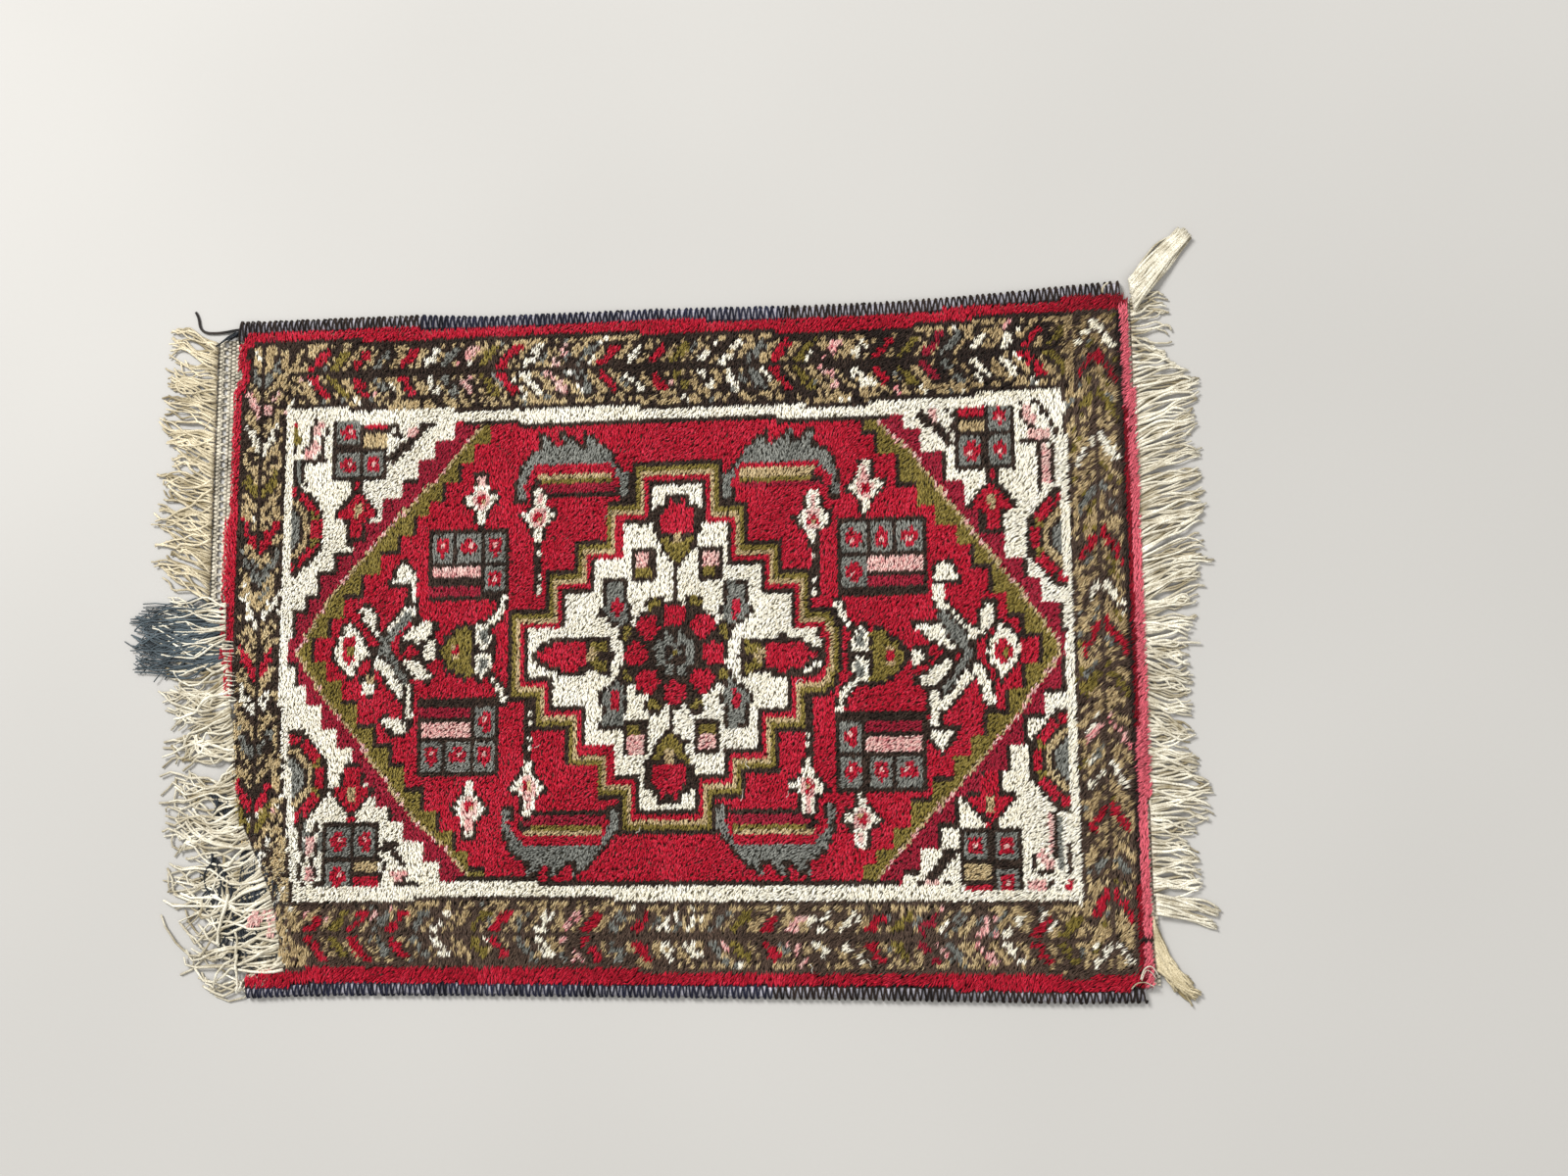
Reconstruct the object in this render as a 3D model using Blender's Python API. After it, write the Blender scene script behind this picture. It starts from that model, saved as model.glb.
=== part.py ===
"""A small hand-knotted wool rug, lying flat: ground weave, pile areas, selvedges, kilim ends and fringes.

Metres, +Z up, +X along the rug. The origin is the centre of the ground weave's underside.
Every pile area is a slab standing on the ground weave. Areas that share an edge share its points,
and each is drawn in by half of GAP, so that neighbours never touch.
"""

import math

import bpy

# Body
PILE_LENGTH = 0.800
PILE_WIDTH = 0.580
GROUND_THICKNESS = 0.003
PILE_HEIGHT = 0.0062
GAP = 0.0003

# Borders, from the outside in
OUTER_GUARD = 0.010
BORDER_SIDE = 0.063
BORDER_END = 0.042
INNER_GUARD = 0.007

# Wear at the bottom left corner: the pile's edge runs from the left edge to the bottom border.
# Its heights are measured up from the bottom edge
WEAR_RISE = 0.188
WEAR_FOOT = 0.021
WEAR_LENGTH = 0.050
WORN_GUARD_LENGTH = 0.026
GROUND_CUT_LENGTH = 0.014
GROUND_CUT_WIDTH = 0.020

# Hexagon in the field: half lengths at the field's long edges and at the tips
BAND_TOP = 0.200
BAND_TIP_MARGIN = 0.005
RED_BAND_TOP = 0.017
RED_BAND_TIP = 0.009
OLIVE_BAND_TOP = 0.015
OLIVE_BAND_TIP = 0.014

# Medallion: crossed blocks make its stepped outline. Each has its half length, and its half width
# as a share of the medallion's own, which stops short of the field's long edges
MEDALLION_MARGIN = 0.049
MEDALLION_BLOCKS = ((0.041, 1.0), (0.061, 0.80), (0.091, 0.585), (0.117, 0.405), (0.139, 0.25))
MEDALLION_OUTLINE = 0.016
ROSETTE_RADIUS = 0.041
ROSETTE_PETALS = 8
ROSETTE_LOBE = 0.05
ROSETTE_POINTS = 48

# Comb motifs above and below the medallion's arms, clear of its outline
COMB_CLEARANCE = 0.006
COMB_LENGTH = 0.088
COMB_SHOULDER = 0.026
COMB_CHAMFER = 0.013
COMB_SPIKE = 0.013
COMB_SPIKES = 4

# Boxes of flowers
CORNER_BOX_LENGTH = 0.048
CORNER_BOX_WIDTH = 0.050
CORNER_BOX_END_MARGIN = 0.039
CORNER_BOX_SIDE_MARGIN = 0.006
FIELD_BOX_LENGTH = 0.073
FIELD_BOX_WIDTH = 0.055
FIELD_BOX_X = 0.183
FIELD_BOX_Y = 0.075

# Selvedges: a flat bundle of warps with wool wrapped round it
SELVEDGE_WIDTH = 0.0115
SELVEDGE_HEIGHT = 0.0065
CORE_WIDTH = 0.0070
CORE_HEIGHT = 0.0030
ROUND_POINTS = 6
# Each binding's name and where it starts, from the left end of its selvedge; the last runs to the end
TOP_BINDINGS = (("brown_left", 0.0), ("navy_middle", 0.165), ("brown_right", 0.495))
BOTTOM_BINDINGS = (("navy_left", 0.0), ("brown_right", 0.480))

# Ends
END_THICKNESS = 0.003
KILIM_LEFT = 0.022
KILIM_LEFT_LENGTH = 0.242
KILIM_RIGHT = 0.0055
FRINGE_LEFT = 0.044
FRINGE_RIGHT = 0.058
LOWER_FRINGE = 0.055
CORNER_MARGIN = 0.004
BUNCH_WIDTH = 0.054
BUNCH_LENGTH = 0.081
BUNCH_THICKNESS = 0.005
BUNCH_NARROW = 0.55
LEFT_GUARD_REACH = 0.035
TASSEL_BASE = 0.034
TASSEL_REACH = 0.044
TASSEL_RISE = 0.056
TASSEL_TIP = 0.006

# The loose end of the top binding's brown yarn, which lies on the floor
TAIL_DIAMETER = 0.0025
TAIL_ROUTE = (
    (0.0, 0.0, 0.0032),
    (-0.006, -0.0003, 0.0030),
    (-0.013, -0.0010, 0.0018),
    (-0.020, -0.0016, 0.0013),
    (-0.027, -0.0018, 0.0013),
    (-0.034, -0.0012, 0.0013),
    (-0.039, 0.0012, 0.0013),
    (-0.0415, 0.0056, 0.0013),
    (-0.0422, 0.0105, 0.0013),
    (-0.0436, 0.0152, 0.0013),
    (-0.0458, 0.0190, 0.0013),
)
TAIL_POINTS = 24

# Where the areas' shared edges lie, measured from the centre
EDGE_X = PILE_LENGTH / 2
EDGE_Y = PILE_WIDTH / 2
BORDER_X = EDGE_X - OUTER_GUARD
BORDER_Y = EDGE_Y - OUTER_GUARD
GUARD_X = BORDER_X - BORDER_END
GUARD_Y = BORDER_Y - BORDER_SIDE
FIELD_X = GUARD_X - INNER_GUARD
FIELD_Y = GUARD_Y - INNER_GUARD
BAND_TIP = FIELD_X - BAND_TIP_MARGIN
OLIVE_TOP = BAND_TOP - RED_BAND_TOP
OLIVE_TIP = BAND_TIP - RED_BAND_TIP
HEXAGON_TOP = OLIVE_TOP - OLIVE_BAND_TOP
HEXAGON_TIP = OLIVE_TIP - OLIVE_BAND_TIP
MEDALLION_WIDTH = FIELD_Y - MEDALLION_MARGIN
MEDALLION_STEPS = [(x, share * MEDALLION_WIDTH) for x, share in MEDALLION_BLOCKS]
WEAR_TOP = WEAR_RISE - EDGE_Y
WEAR_BOTTOM = WEAR_FOOT - EDGE_Y
KILIM_TOP = EDGE_Y - CORNER_MARGIN
KILIM_END = KILIM_TOP - KILIM_LEFT_LENGTH
BUNCH_END = KILIM_END - BUNCH_WIDTH
PILE_BOTTOM = GROUND_THICKNESS + GAP
PILE_TOP = PILE_BOTTOM + PILE_HEIGHT

CORNERS = {
    "top_left": (-1, 1),
    "top_right": (1, 1),
    "bottom_left": (-1, -1),
    "bottom_right": (1, -1),
}

WOOL, COTTON = 0.9, 0.85
COLOURS = {
    "crimson": (0.45, 0.015, 0.035, WOOL),
    "dark_crimson": (0.27, 0.012, 0.03, WOOL),
    "pink": (0.62, 0.20, 0.20, WOOL),
    "ivory": (0.76, 0.73, 0.62, WOOL),
    "tan": (0.42, 0.32, 0.20, WOOL),
    "olive": (0.19, 0.16, 0.045, WOOL),
    "slate": (0.21, 0.22, 0.21, WOOL),
    "brown": (0.035, 0.022, 0.018, WOOL),
    "navy": (0.025, 0.027, 0.045, WOOL),
    "loose_slate": (0.06, 0.08, 0.09, WOOL),
    "cotton": (0.72, 0.67, 0.55, COTTON),
}


def clear_scene():
    """Remove what the startup scene holds."""
    for obj in list(bpy.data.objects):
        bpy.data.objects.remove(obj, do_unlink=True)


def yarn(colour):
    """A matt material in one yarn colour."""
    name = "yarn_" + colour
    if name in bpy.data.materials:
        return bpy.data.materials[name]
    material = bpy.data.materials.new(name)
    material.use_nodes = True
    shader = material.node_tree.nodes["Principled BSDF"]
    red, green, blue, roughness = COLOURS[colour]
    shader.inputs["Base Color"].default_value = (red, green, blue, 1)
    shader.inputs["Roughness"].default_value = roughness
    shader.inputs["Metallic"].default_value = 0
    return material


def area_of(points):
    """Signed area, positive when the points run anticlockwise."""
    following = points[1:] + points[:1]
    return sum(x * v - u * y for (x, y), (u, v) in zip(points, following)) / 2


def drawn_in(points, distance):
    """The outline with every side moved inwards, so that its corners stay sharp."""
    if area_of(points) < 0:
        points = points[::-1]
    result = []
    for before, here, after in zip(points[-1:] + points[:-1], points, points[1:] + points[:1]):
        normals = []
        for (x, y), (u, v) in ((before, here), (here, after)):
            length = math.hypot(u - x, v - y)
            normals.append(((y - v) / length, (u - x) / length))
        (a, b), (c, d) = normals
        share = distance / (1 + a * c + b * d)
        result.append((here[0] + share * (a + c), here[1] + share * (b + d)))
    return result


def mirrored(points, side):
    """The same outline in another quarter of the rug."""
    return [(x * side[0], y * side[1]) for x, y in points]


def rectangle(left, right, bottom, top):
    return [(left, bottom), (right, bottom), (right, top), (left, top)]


def flat_curve(name, loops, thickness):
    """A filled outline with its holes, as thick as asked, centred on its plane."""
    curve = bpy.data.curves.new(name, "CURVE")
    curve.dimensions = "2D"
    curve.fill_mode = "BOTH"
    curve.extrude = thickness / 2
    for points in loops:
        spline = curve.splines.new("POLY")
        spline.points.add(len(points) - 1)
        for point, (x, y) in zip(spline.points, points):
            point.co = (x, y, 0, 1)
        spline.use_cyclic_u = True
    return curve


def add(name, curve, colour, location=(0, 0, 0), rotation=(0, 0, 0)):
    """Place a curve as one named part."""
    obj = bpy.data.objects.new(name, curve)
    obj.location = location
    obj.rotation_euler = rotation
    curve.materials.append(yarn(colour))
    rug.objects.link(obj)
    obj.parent = base
    return obj


def slab(name, outline, bottom, top, colour, holes=()):
    """A flat piece between two heights."""
    loops = [drawn_in(outline, GAP / 2)] + [drawn_in(hole, -GAP / 2) for hole in holes]
    curve = flat_curve(name, loops, top - bottom)
    return add(name, curve, colour, location=(0, 0, (bottom + top) / 2))


def pile(name, outline, colour, holes=()):
    """One area of knots."""
    return slab(name, outline, PILE_BOTTOM, PILE_TOP, colour, holes)


def build_ground():
    """The cotton warps and wefts that carry every knot, frayed away at the bottom left corner."""
    outline = [
        (EDGE_X, -EDGE_Y),
        (EDGE_X, EDGE_Y),
        (-EDGE_X, EDGE_Y),
        (-EDGE_X, -EDGE_Y + GROUND_CUT_WIDTH),
        (-EDGE_X + GROUND_CUT_LENGTH, -EDGE_Y),
    ]
    slab("ground_weave", outline, 0, GROUND_THICKNESS, "cotton")


def wear_x(y):
    """Where the worn edge of the pile lies at this height of the rug."""
    return -EDGE_X + WEAR_LENGTH * (WEAR_TOP - y) / (WEAR_TOP - WEAR_BOTTOM)


def wear_y(x):
    """The same edge, read the other way."""
    return WEAR_TOP - (WEAR_TOP - WEAR_BOTTOM) * (x + EDGE_X) / WEAR_LENGTH


def build_outer_guard():
    """The plain red stripe along each edge, which is missing where the corner is worn."""
    worn_end = -EDGE_X + WORN_GUARD_LENGTH
    pile("outer_guard_top", rectangle(-EDGE_X, EDGE_X, BORDER_Y, EDGE_Y), "crimson")
    pile("outer_guard_bottom", rectangle(worn_end, EDGE_X, -EDGE_Y, -BORDER_Y), "crimson")
    guard_end = BUNCH_END - LEFT_GUARD_REACH
    pile("outer_guard_left", rectangle(-EDGE_X, -BORDER_X, guard_end, BORDER_Y), "crimson")
    pile("outer_guard_right", rectangle(BORDER_X, EDGE_X, -BORDER_Y, BORDER_Y), "pink")


def build_border():
    """The broad tan border with its leaf pattern, cut back at the worn corner."""
    worn_end = -EDGE_X + WEAR_LENGTH
    pile("border_top", rectangle(-BORDER_X, BORDER_X, GUARD_Y, BORDER_Y), "tan")
    pile("border_right", rectangle(GUARD_X, BORDER_X, -GUARD_Y, GUARD_Y), "tan")
    left = [
        (-BORDER_X, GUARD_Y),
        (-BORDER_X, wear_y(-BORDER_X)),
        (wear_x(-GUARD_Y), -GUARD_Y),
        (-GUARD_X, -GUARD_Y),
        (-GUARD_X, GUARD_Y),
    ]
    pile("border_left", left, "tan")
    bottom = [
        (wear_x(-GUARD_Y), -GUARD_Y),
        (worn_end, WEAR_BOTTOM),
        (worn_end, -BORDER_Y),
        (BORDER_X, -BORDER_Y),
        (BORDER_X, -GUARD_Y),
    ]
    pile("border_bottom", bottom, "tan")


def build_inner_guard():
    """The narrow ivory line round the field."""
    for name, side in (("top", 1), ("bottom", -1)):
        outline = mirrored(rectangle(-GUARD_X, GUARD_X, FIELD_Y, GUARD_Y), (1, side))
        pile("inner_guard_" + name, outline, "ivory")
    for name, side in (("left", -1), ("right", 1)):
        outline = mirrored(rectangle(FIELD_X, GUARD_X, -FIELD_Y, FIELD_Y), (side, 1))
        pile("inner_guard_" + name, outline, "ivory")


def corner_box():
    right = FIELD_X - CORNER_BOX_END_MARGIN
    top = FIELD_Y - CORNER_BOX_SIDE_MARGIN
    return rectangle(right - CORNER_BOX_LENGTH, right, top - CORNER_BOX_WIDTH, top)


def field_box():
    half_x, half_y = FIELD_BOX_LENGTH / 2, FIELD_BOX_WIDTH / 2
    return rectangle(
        FIELD_BOX_X - half_x, FIELD_BOX_X + half_x, FIELD_BOX_Y - half_y, FIELD_BOX_Y + half_y
    )


def build_corners():
    """Ivory spandrels with a box of flowers in each, and the two bands that close the hexagon."""
    spandrel = [(FIELD_X, 0), (FIELD_X, FIELD_Y), (BAND_TOP, FIELD_Y), (BAND_TIP, 0)]
    red = [(BAND_TIP, 0), (BAND_TOP, FIELD_Y), (OLIVE_TOP, FIELD_Y), (OLIVE_TIP, 0)]
    olive = [(OLIVE_TIP, 0), (OLIVE_TOP, FIELD_Y), (HEXAGON_TOP, FIELD_Y), (HEXAGON_TIP, 0)]
    for corner, side in CORNERS.items():
        box = mirrored(corner_box(), side)
        pile("spandrel_" + corner, mirrored(spandrel, side), "ivory", [box])
        pile("corner_box_" + corner, box, "slate")
        pile("red_band_" + corner, mirrored(red, side), "dark_crimson")
        pile("olive_band_" + corner, mirrored(olive, side), "olive")


def comb():
    """A block with chamfered outer corners and a row of spikes on its outer side."""
    left = MEDALLION_STEPS[0][0] + COMB_CLEARANCE
    right = left + COMB_LENGTH
    bottom = MEDALLION_STEPS[1][1] + COMB_CLEARANCE
    shoulder = bottom + COMB_SHOULDER
    top = shoulder + COMB_CHAMFER
    points = [(left, bottom), (right, bottom), (right, shoulder)]
    first, last = right - COMB_CHAMFER, left + COMB_CHAMFER
    pitch = (last - first) / COMB_SPIKES
    for spike in range(COMB_SPIKES):
        points.append((first + pitch * spike, top))
        points.append((first + pitch * (spike + 0.5), top + COMB_SPIKE))
    return points + [(last, top), (left, shoulder)]


def medallion_steps(inset):
    """The stepped outline of a quarter of the medallion, from its top to its right tip."""
    points = [(0, MEDALLION_WIDTH - inset)]
    for (x, y), (_, lower) in zip(MEDALLION_STEPS, MEDALLION_STEPS[1:] + [(0, inset)]):
        points += [(x - inset, y - inset), (x - inset, lower - inset)]
    return points


def build_field():
    """The red field in two halves, which run round the medallion and hold the combs and boxes."""
    steps = medallion_steps(0)
    half = [(0, FIELD_Y), (HEXAGON_TOP, FIELD_Y), (HEXAGON_TIP, 0), (HEXAGON_TOP, -FIELD_Y)]
    half += [(0, -FIELD_Y)] + mirrored(steps, (1, -1))[:-1] + steps[::-1][1:]
    for name, side in (("left", -1), ("right", 1)):
        holes = [mirrored(shape, (side, up)) for up in (1, -1) for shape in (comb(), field_box())]
        pile("field_" + name, mirrored(half, (side, 1)), "crimson", holes)
    for corner, side in CORNERS.items():
        pile("comb_" + corner, mirrored(comb(), side), "slate")
        pile("field_box_" + corner, mirrored(field_box(), side), "slate")


def rosette():
    """A circle with a shallow lobe for each petal."""
    points = []
    for step in range(ROSETTE_POINTS):
        angle = 2 * math.pi * step / ROSETTE_POINTS
        radius = ROSETTE_RADIUS * (1 + ROSETTE_LOBE * math.cos(ROSETTE_PETALS * angle))
        points.append((radius * math.cos(angle), radius * math.sin(angle)))
    return points


def build_medallion():
    """Stepped outline in four quarters, the ivory ground inside it and the rosette at its centre."""
    outer, inner = medallion_steps(0), medallion_steps(MEDALLION_OUTLINE)
    for corner, side in CORNERS.items():
        pile("medallion_outline_" + corner, mirrored(outer + inner[::-1], side), "olive")
    ground = inner[:-1] + mirrored(inner, (1, -1))[::-1][1:-1]
    ground += mirrored(inner, (-1, -1))[:-1] + mirrored(inner, (-1, 1))[::-1][1:-1]
    pile("medallion_ground", ground, "ivory", [rosette()])
    pile("centre_rosette", rosette(), "crimson")


def flat_round(width, height):
    """A flat oblong with half-round ends."""
    radius = height / 2
    points = []
    for centre, turn in ((width / 2 - radius, -90), (radius - width / 2, 90)):
        for step in range(ROUND_POINTS + 1):
            angle = math.radians(turn + 180 * step / ROUND_POINTS)
            points.append((centre + radius * math.cos(angle), radius * math.sin(angle)))
    return points


def along_x(name, loops, left, right, y, colour):
    """A length of one cross-section, laid along X on the floor's side of the rug."""
    curve = flat_curve(name, loops, right - left)
    place = ((left + right) / 2, y, SELVEDGE_HEIGHT / 2)
    add(name, curve, colour, location=place, rotation=(math.pi / 2, 0, math.pi / 2))


def build_selvedge(name, side, left, bindings):
    """A bundle of warps and the lengths of yarn wrapped over it, one after the other."""
    y = side * (EDGE_Y + SELVEDGE_WIDTH / 2)
    core = flat_round(CORE_WIDTH, CORE_HEIGHT)
    along_x("selvedge_core_" + name, [drawn_in(core, GAP / 2)], left, EDGE_X, y, "cotton")
    loops = [drawn_in(flat_round(SELVEDGE_WIDTH, SELVEDGE_HEIGHT), GAP / 2), drawn_in(core, -GAP / 2)]
    ends = [left + start for _, start in bindings[1:]] + [EDGE_X]
    for (binding, start), end in zip(bindings, ends):
        colour = binding.split("_")[0]
        part = f"binding_{name}_{binding}"
        along_x(part, loops, left + start + GAP / 2, end - GAP / 2, y, colour)


def smooth_route(points, count):
    """Points evenly along the Catmull-Rom curve through the route."""
    padded = [points[0], *points, points[-1]]
    result = []
    for step in range(count):
        place = step * (len(points) - 1) / (count - 1)
        index = min(int(place), len(points) - 2)
        t = place - index
        a, b, c, d = padded[index : index + 4]
        result.append(
            tuple(
                q + t * (r - p) / 2 + t**2 * (p - 2.5 * q + 2 * r - s / 2) + t**3 * (3 * q - p - 3 * r + s) / 2
                for p, q, r, s in zip(a, b, c, d)
            )
        )
    return result


def build_tail():
    """The loose yarn end that leaves the top binding at its left end."""
    start = (-EDGE_X - GAP, EDGE_Y + SELVEDGE_WIDTH / 2)
    curve = bpy.data.curves.new("binding_tail", "CURVE")
    curve.dimensions = "3D"
    curve.bevel_depth = TAIL_DIAMETER / 2
    curve.bevel_resolution = 2
    curve.use_fill_caps = True
    route = smooth_route(TAIL_ROUTE, TAIL_POINTS)
    spline = curve.splines.new("POLY")
    spline.points.add(len(route) - 1)
    for point, (x, y, z) in zip(spline.points, route):
        point.co = (start[0] + x, start[1] + y, z, 1)
    add("binding_tail", curve, "brown")


def end_piece(name, outline, colour="cotton", thickness=END_THICKNESS):
    slab(name, outline, 0, thickness, colour)


def build_left_end():
    """The kilim band, the fringe above and below its frayed end, and a bunch of pulled weft yarn."""
    kilim_x = -EDGE_X - KILIM_LEFT
    fringe_x = kilim_x - FRINGE_LEFT
    end_piece("kilim_end_left", rectangle(kilim_x, -EDGE_X, KILIM_END, KILIM_TOP))
    end_piece("fringe_left_upper", rectangle(fringe_x, kilim_x, KILIM_END, KILIM_TOP))
    middle = (KILIM_END + BUNCH_END) / 2
    narrow = BUNCH_WIDTH / 2 * BUNCH_NARROW
    bunch = [
        (-EDGE_X, middle - narrow),
        (-EDGE_X, middle + narrow),
        (-EDGE_X - BUNCH_LENGTH / 2, KILIM_END),
        (-EDGE_X - BUNCH_LENGTH, middle + narrow),
        (-EDGE_X - BUNCH_LENGTH, middle - narrow),
        (-EDGE_X - BUNCH_LENGTH / 2, BUNCH_END),
    ]
    end_piece("weft_bunch", bunch, "loose_slate", BUNCH_THICKNESS)
    lower = [
        (-EDGE_X, BUNCH_END),
        (-EDGE_X - LOWER_FRINGE, BUNCH_END),
        (-EDGE_X - LOWER_FRINGE, -EDGE_Y),
        (-EDGE_X + GROUND_CUT_LENGTH, -EDGE_Y),
        (-EDGE_X, -EDGE_Y + GROUND_CUT_WIDTH),
    ]
    end_piece("fringe_left_lower", lower)


def build_right_end():
    """The narrow kilim edge, the fringe and the long tassel that flares out at its top corner."""
    kilim_x = EDGE_X + KILIM_RIGHT
    tassel_bottom = KILIM_TOP - TASSEL_BASE
    end_piece("kilim_end_right", rectangle(EDGE_X, kilim_x, -EDGE_Y, KILIM_TOP))
    fringe = rectangle(kilim_x, kilim_x + FRINGE_RIGHT, -EDGE_Y, tassel_bottom)
    end_piece("fringe_right", fringe)
    tassel = [
        (kilim_x, tassel_bottom),
        (kilim_x + TASSEL_REACH / 2, tassel_bottom + TASSEL_BASE / 2),
        (kilim_x + TASSEL_REACH, KILIM_TOP + TASSEL_RISE),
        (kilim_x + TASSEL_REACH - TASSEL_TIP, KILIM_TOP + TASSEL_RISE),
        (kilim_x, KILIM_TOP + CORNER_MARGIN),
    ]
    end_piece("tassel_top_right", tassel)


def build():
    build_ground()
    build_outer_guard()
    build_border()
    build_inner_guard()
    build_corners()
    build_field()
    build_medallion()
    build_selvedge("top", 1, -EDGE_X, TOP_BINDINGS)
    build_selvedge("bottom", -1, -EDGE_X + WORN_GUARD_LENGTH, BOTTOM_BINDINGS)
    build_tail()
    build_left_end()
    build_right_end()


clear_scene()
rug = bpy.data.collections.new("knotted_rug")
bpy.context.scene.collection.children.link(rug)
base = bpy.data.objects.new("rug_centre", None)
rug.objects.link(base)
build()
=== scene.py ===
"""A small hand-knotted wool rug, lying flat: its knotted pile, woven ground, overcast edges and fringes."""

import logging
import math
from dataclasses import dataclass, field
from enum import Enum
from typing import Callable, Dict, List, Optional, Sequence, Tuple

import bpy
import numpy as np
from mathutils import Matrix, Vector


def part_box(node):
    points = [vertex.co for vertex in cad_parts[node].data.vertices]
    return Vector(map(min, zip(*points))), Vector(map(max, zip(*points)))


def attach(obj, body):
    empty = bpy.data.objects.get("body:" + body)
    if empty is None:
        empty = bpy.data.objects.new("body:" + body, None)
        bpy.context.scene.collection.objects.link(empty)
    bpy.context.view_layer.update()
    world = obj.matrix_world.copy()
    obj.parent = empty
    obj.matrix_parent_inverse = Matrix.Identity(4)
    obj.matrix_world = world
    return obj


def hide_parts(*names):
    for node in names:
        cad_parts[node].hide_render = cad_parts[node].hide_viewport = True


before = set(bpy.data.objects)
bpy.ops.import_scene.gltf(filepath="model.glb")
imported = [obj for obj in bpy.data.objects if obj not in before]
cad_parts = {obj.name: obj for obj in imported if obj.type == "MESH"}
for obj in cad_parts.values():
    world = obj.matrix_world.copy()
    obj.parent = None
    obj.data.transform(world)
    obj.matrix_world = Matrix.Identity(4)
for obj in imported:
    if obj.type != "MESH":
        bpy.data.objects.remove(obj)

logging.basicConfig(level=logging.INFO, format="%(message)s")
log = logging.getLogger("rug")

# One knot's size: the pile's length and width in metres over its columns and rows
COLUMN, ROW = 0.800 / 218.2, 0.580 / 136.0
MIDDLE_COLUMN, MIDDLE_ROW = 107.0, 68.0
FIRST_COLUMN, LAST_COLUMN = -4, 218
FIRST_ROW, LAST_ROW = -1, 139
GROUND_TOP = 0.0030

# The chart's code for ground whose knots have worn away, and the rows where it lies
BARE = -1
BARE_TOP, BARE_BOTTOM = 104, 134

Line = Tuple[float, ...]
Place = Tuple[float, float, float, float]


def place(k: np.ndarray, r: np.ndarray) -> Tuple[np.ndarray, np.ndarray]:
    """Metres for a place on the chart: columns run along +X and rows count down -Y."""
    return (np.asarray(k) - MIDDLE_COLUMN) * COLUMN, (MIDDLE_ROW - np.asarray(r)) * ROW


def follow(line: Line, where: np.ndarray) -> np.ndarray:
    """A line's other coordinate at each place along it, straight between its points."""
    places, values = np.array(line, float).reshape(-1, 2).T
    return np.interp(where, places, values)


def stairs(x: float, y: float, *turns: float) -> Line:
    """A stepped line from a point: each number after it moves the row, then the column, in turn.

    Args:
        x: Column of the first point.
        y: Row of the first point.
        turns: Rows and columns in turn, starting with a row.

    Returns:
        The points, as one flat line.
    """
    line = [x, y]
    for number, turn in enumerate(turns):
        x, y = (turn, y) if number % 2 else (x, turn)
        line += [x, y]
    return tuple(line)


def bare_from(r: np.ndarray) -> np.ndarray:
    """The column where the bare ground starts at each row, which moves in as the corner is reached."""
    return 1.5 + 0.1 * (r - BARE_TOP)


class Yarn(Enum):
    """The dyed wools of the pile. Each value is the record's slot that the wool is listed under."""

    CRIMSON = "crimson_wool"
    PINK = "faded_pink_wool"
    WINE = "dark_crimson_wool"
    IVORY = "ivory_wool"
    TAN = "tan_wool"
    OLIVE = "olive_wool"
    SLATE = "slate_wool"
    BROWN = "brown_wool"


C, P, W, I, T, O, S, B = Yarn
CODE = {yarn: number + 1 for number, yarn in enumerate(Yarn)}


class Chart:
    """The design on graph paper: one square for each knot, counted from the top left of the field's frame."""

    def __init__(self) -> None:
        """Rule an empty chart a little larger than the pile."""
        self.columns = np.arange(FIRST_COLUMN, LAST_COLUMN)
        self.rows = np.arange(FIRST_ROW, LAST_ROW)
        self.k, self.r = np.meshgrid(self.columns + 0.5, self.rows + 0.5)
        self.knots = np.zeros(self.k.shape, int)

    def paint(self, yarn: Optional[Yarn], where: np.ndarray) -> None:
        """Tie these knots in one yarn, or leave them out when there is none."""
        self.knots[where] = CODE[yarn] if yarn else 0

    def inside(self, points: np.ndarray) -> np.ndarray:
        """Squares whose centre lies in a polygon, by the even-odd rule on the sides that pass it.

        Args:
            points: The polygon's corners, in columns and rows.

        Returns:
            A mask over the chart.
        """
        found = np.zeros(self.k.shape, bool)
        for (x0, y0), (x1, y1) in zip(points, np.roll(points, -1, axis=0)):
            if y0 != y1:
                crosses = (y0 > self.r) != (y1 > self.r)
                found ^= crosses & (self.k < x0 + (self.r - y0) * (x1 - x0) / (y1 - y0))
        return found

    def near(self, points: np.ndarray, square: bool = False) -> np.ndarray:
        """Distance of each square from a line of points: from its nearest place on the nearest stretch.

        Args:
            points: The line's points, in columns and rows.
            square: Measure the larger of across and down, which keeps square corners square.

        Returns:
            Distances in knots.
        """
        best = np.full(self.k.shape, np.inf)
        for (x0, y0), (x1, y1) in zip(points[:-1], points[1:]):
            length = (x1 - x0) ** 2 + (y1 - y0) ** 2 + 1e-9
            t = np.clip(((self.k - x0) * (x1 - x0) + (self.r - y0) * (y1 - y0)) / length, 0, 1)
            dx, dy = abs(self.k - x0 - t * (x1 - x0)), abs(self.r - y0 - t * (y1 - y0))
            best = np.minimum(best, np.maximum(dx, dy) if square else np.hypot(dx, dy))
        return best


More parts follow.
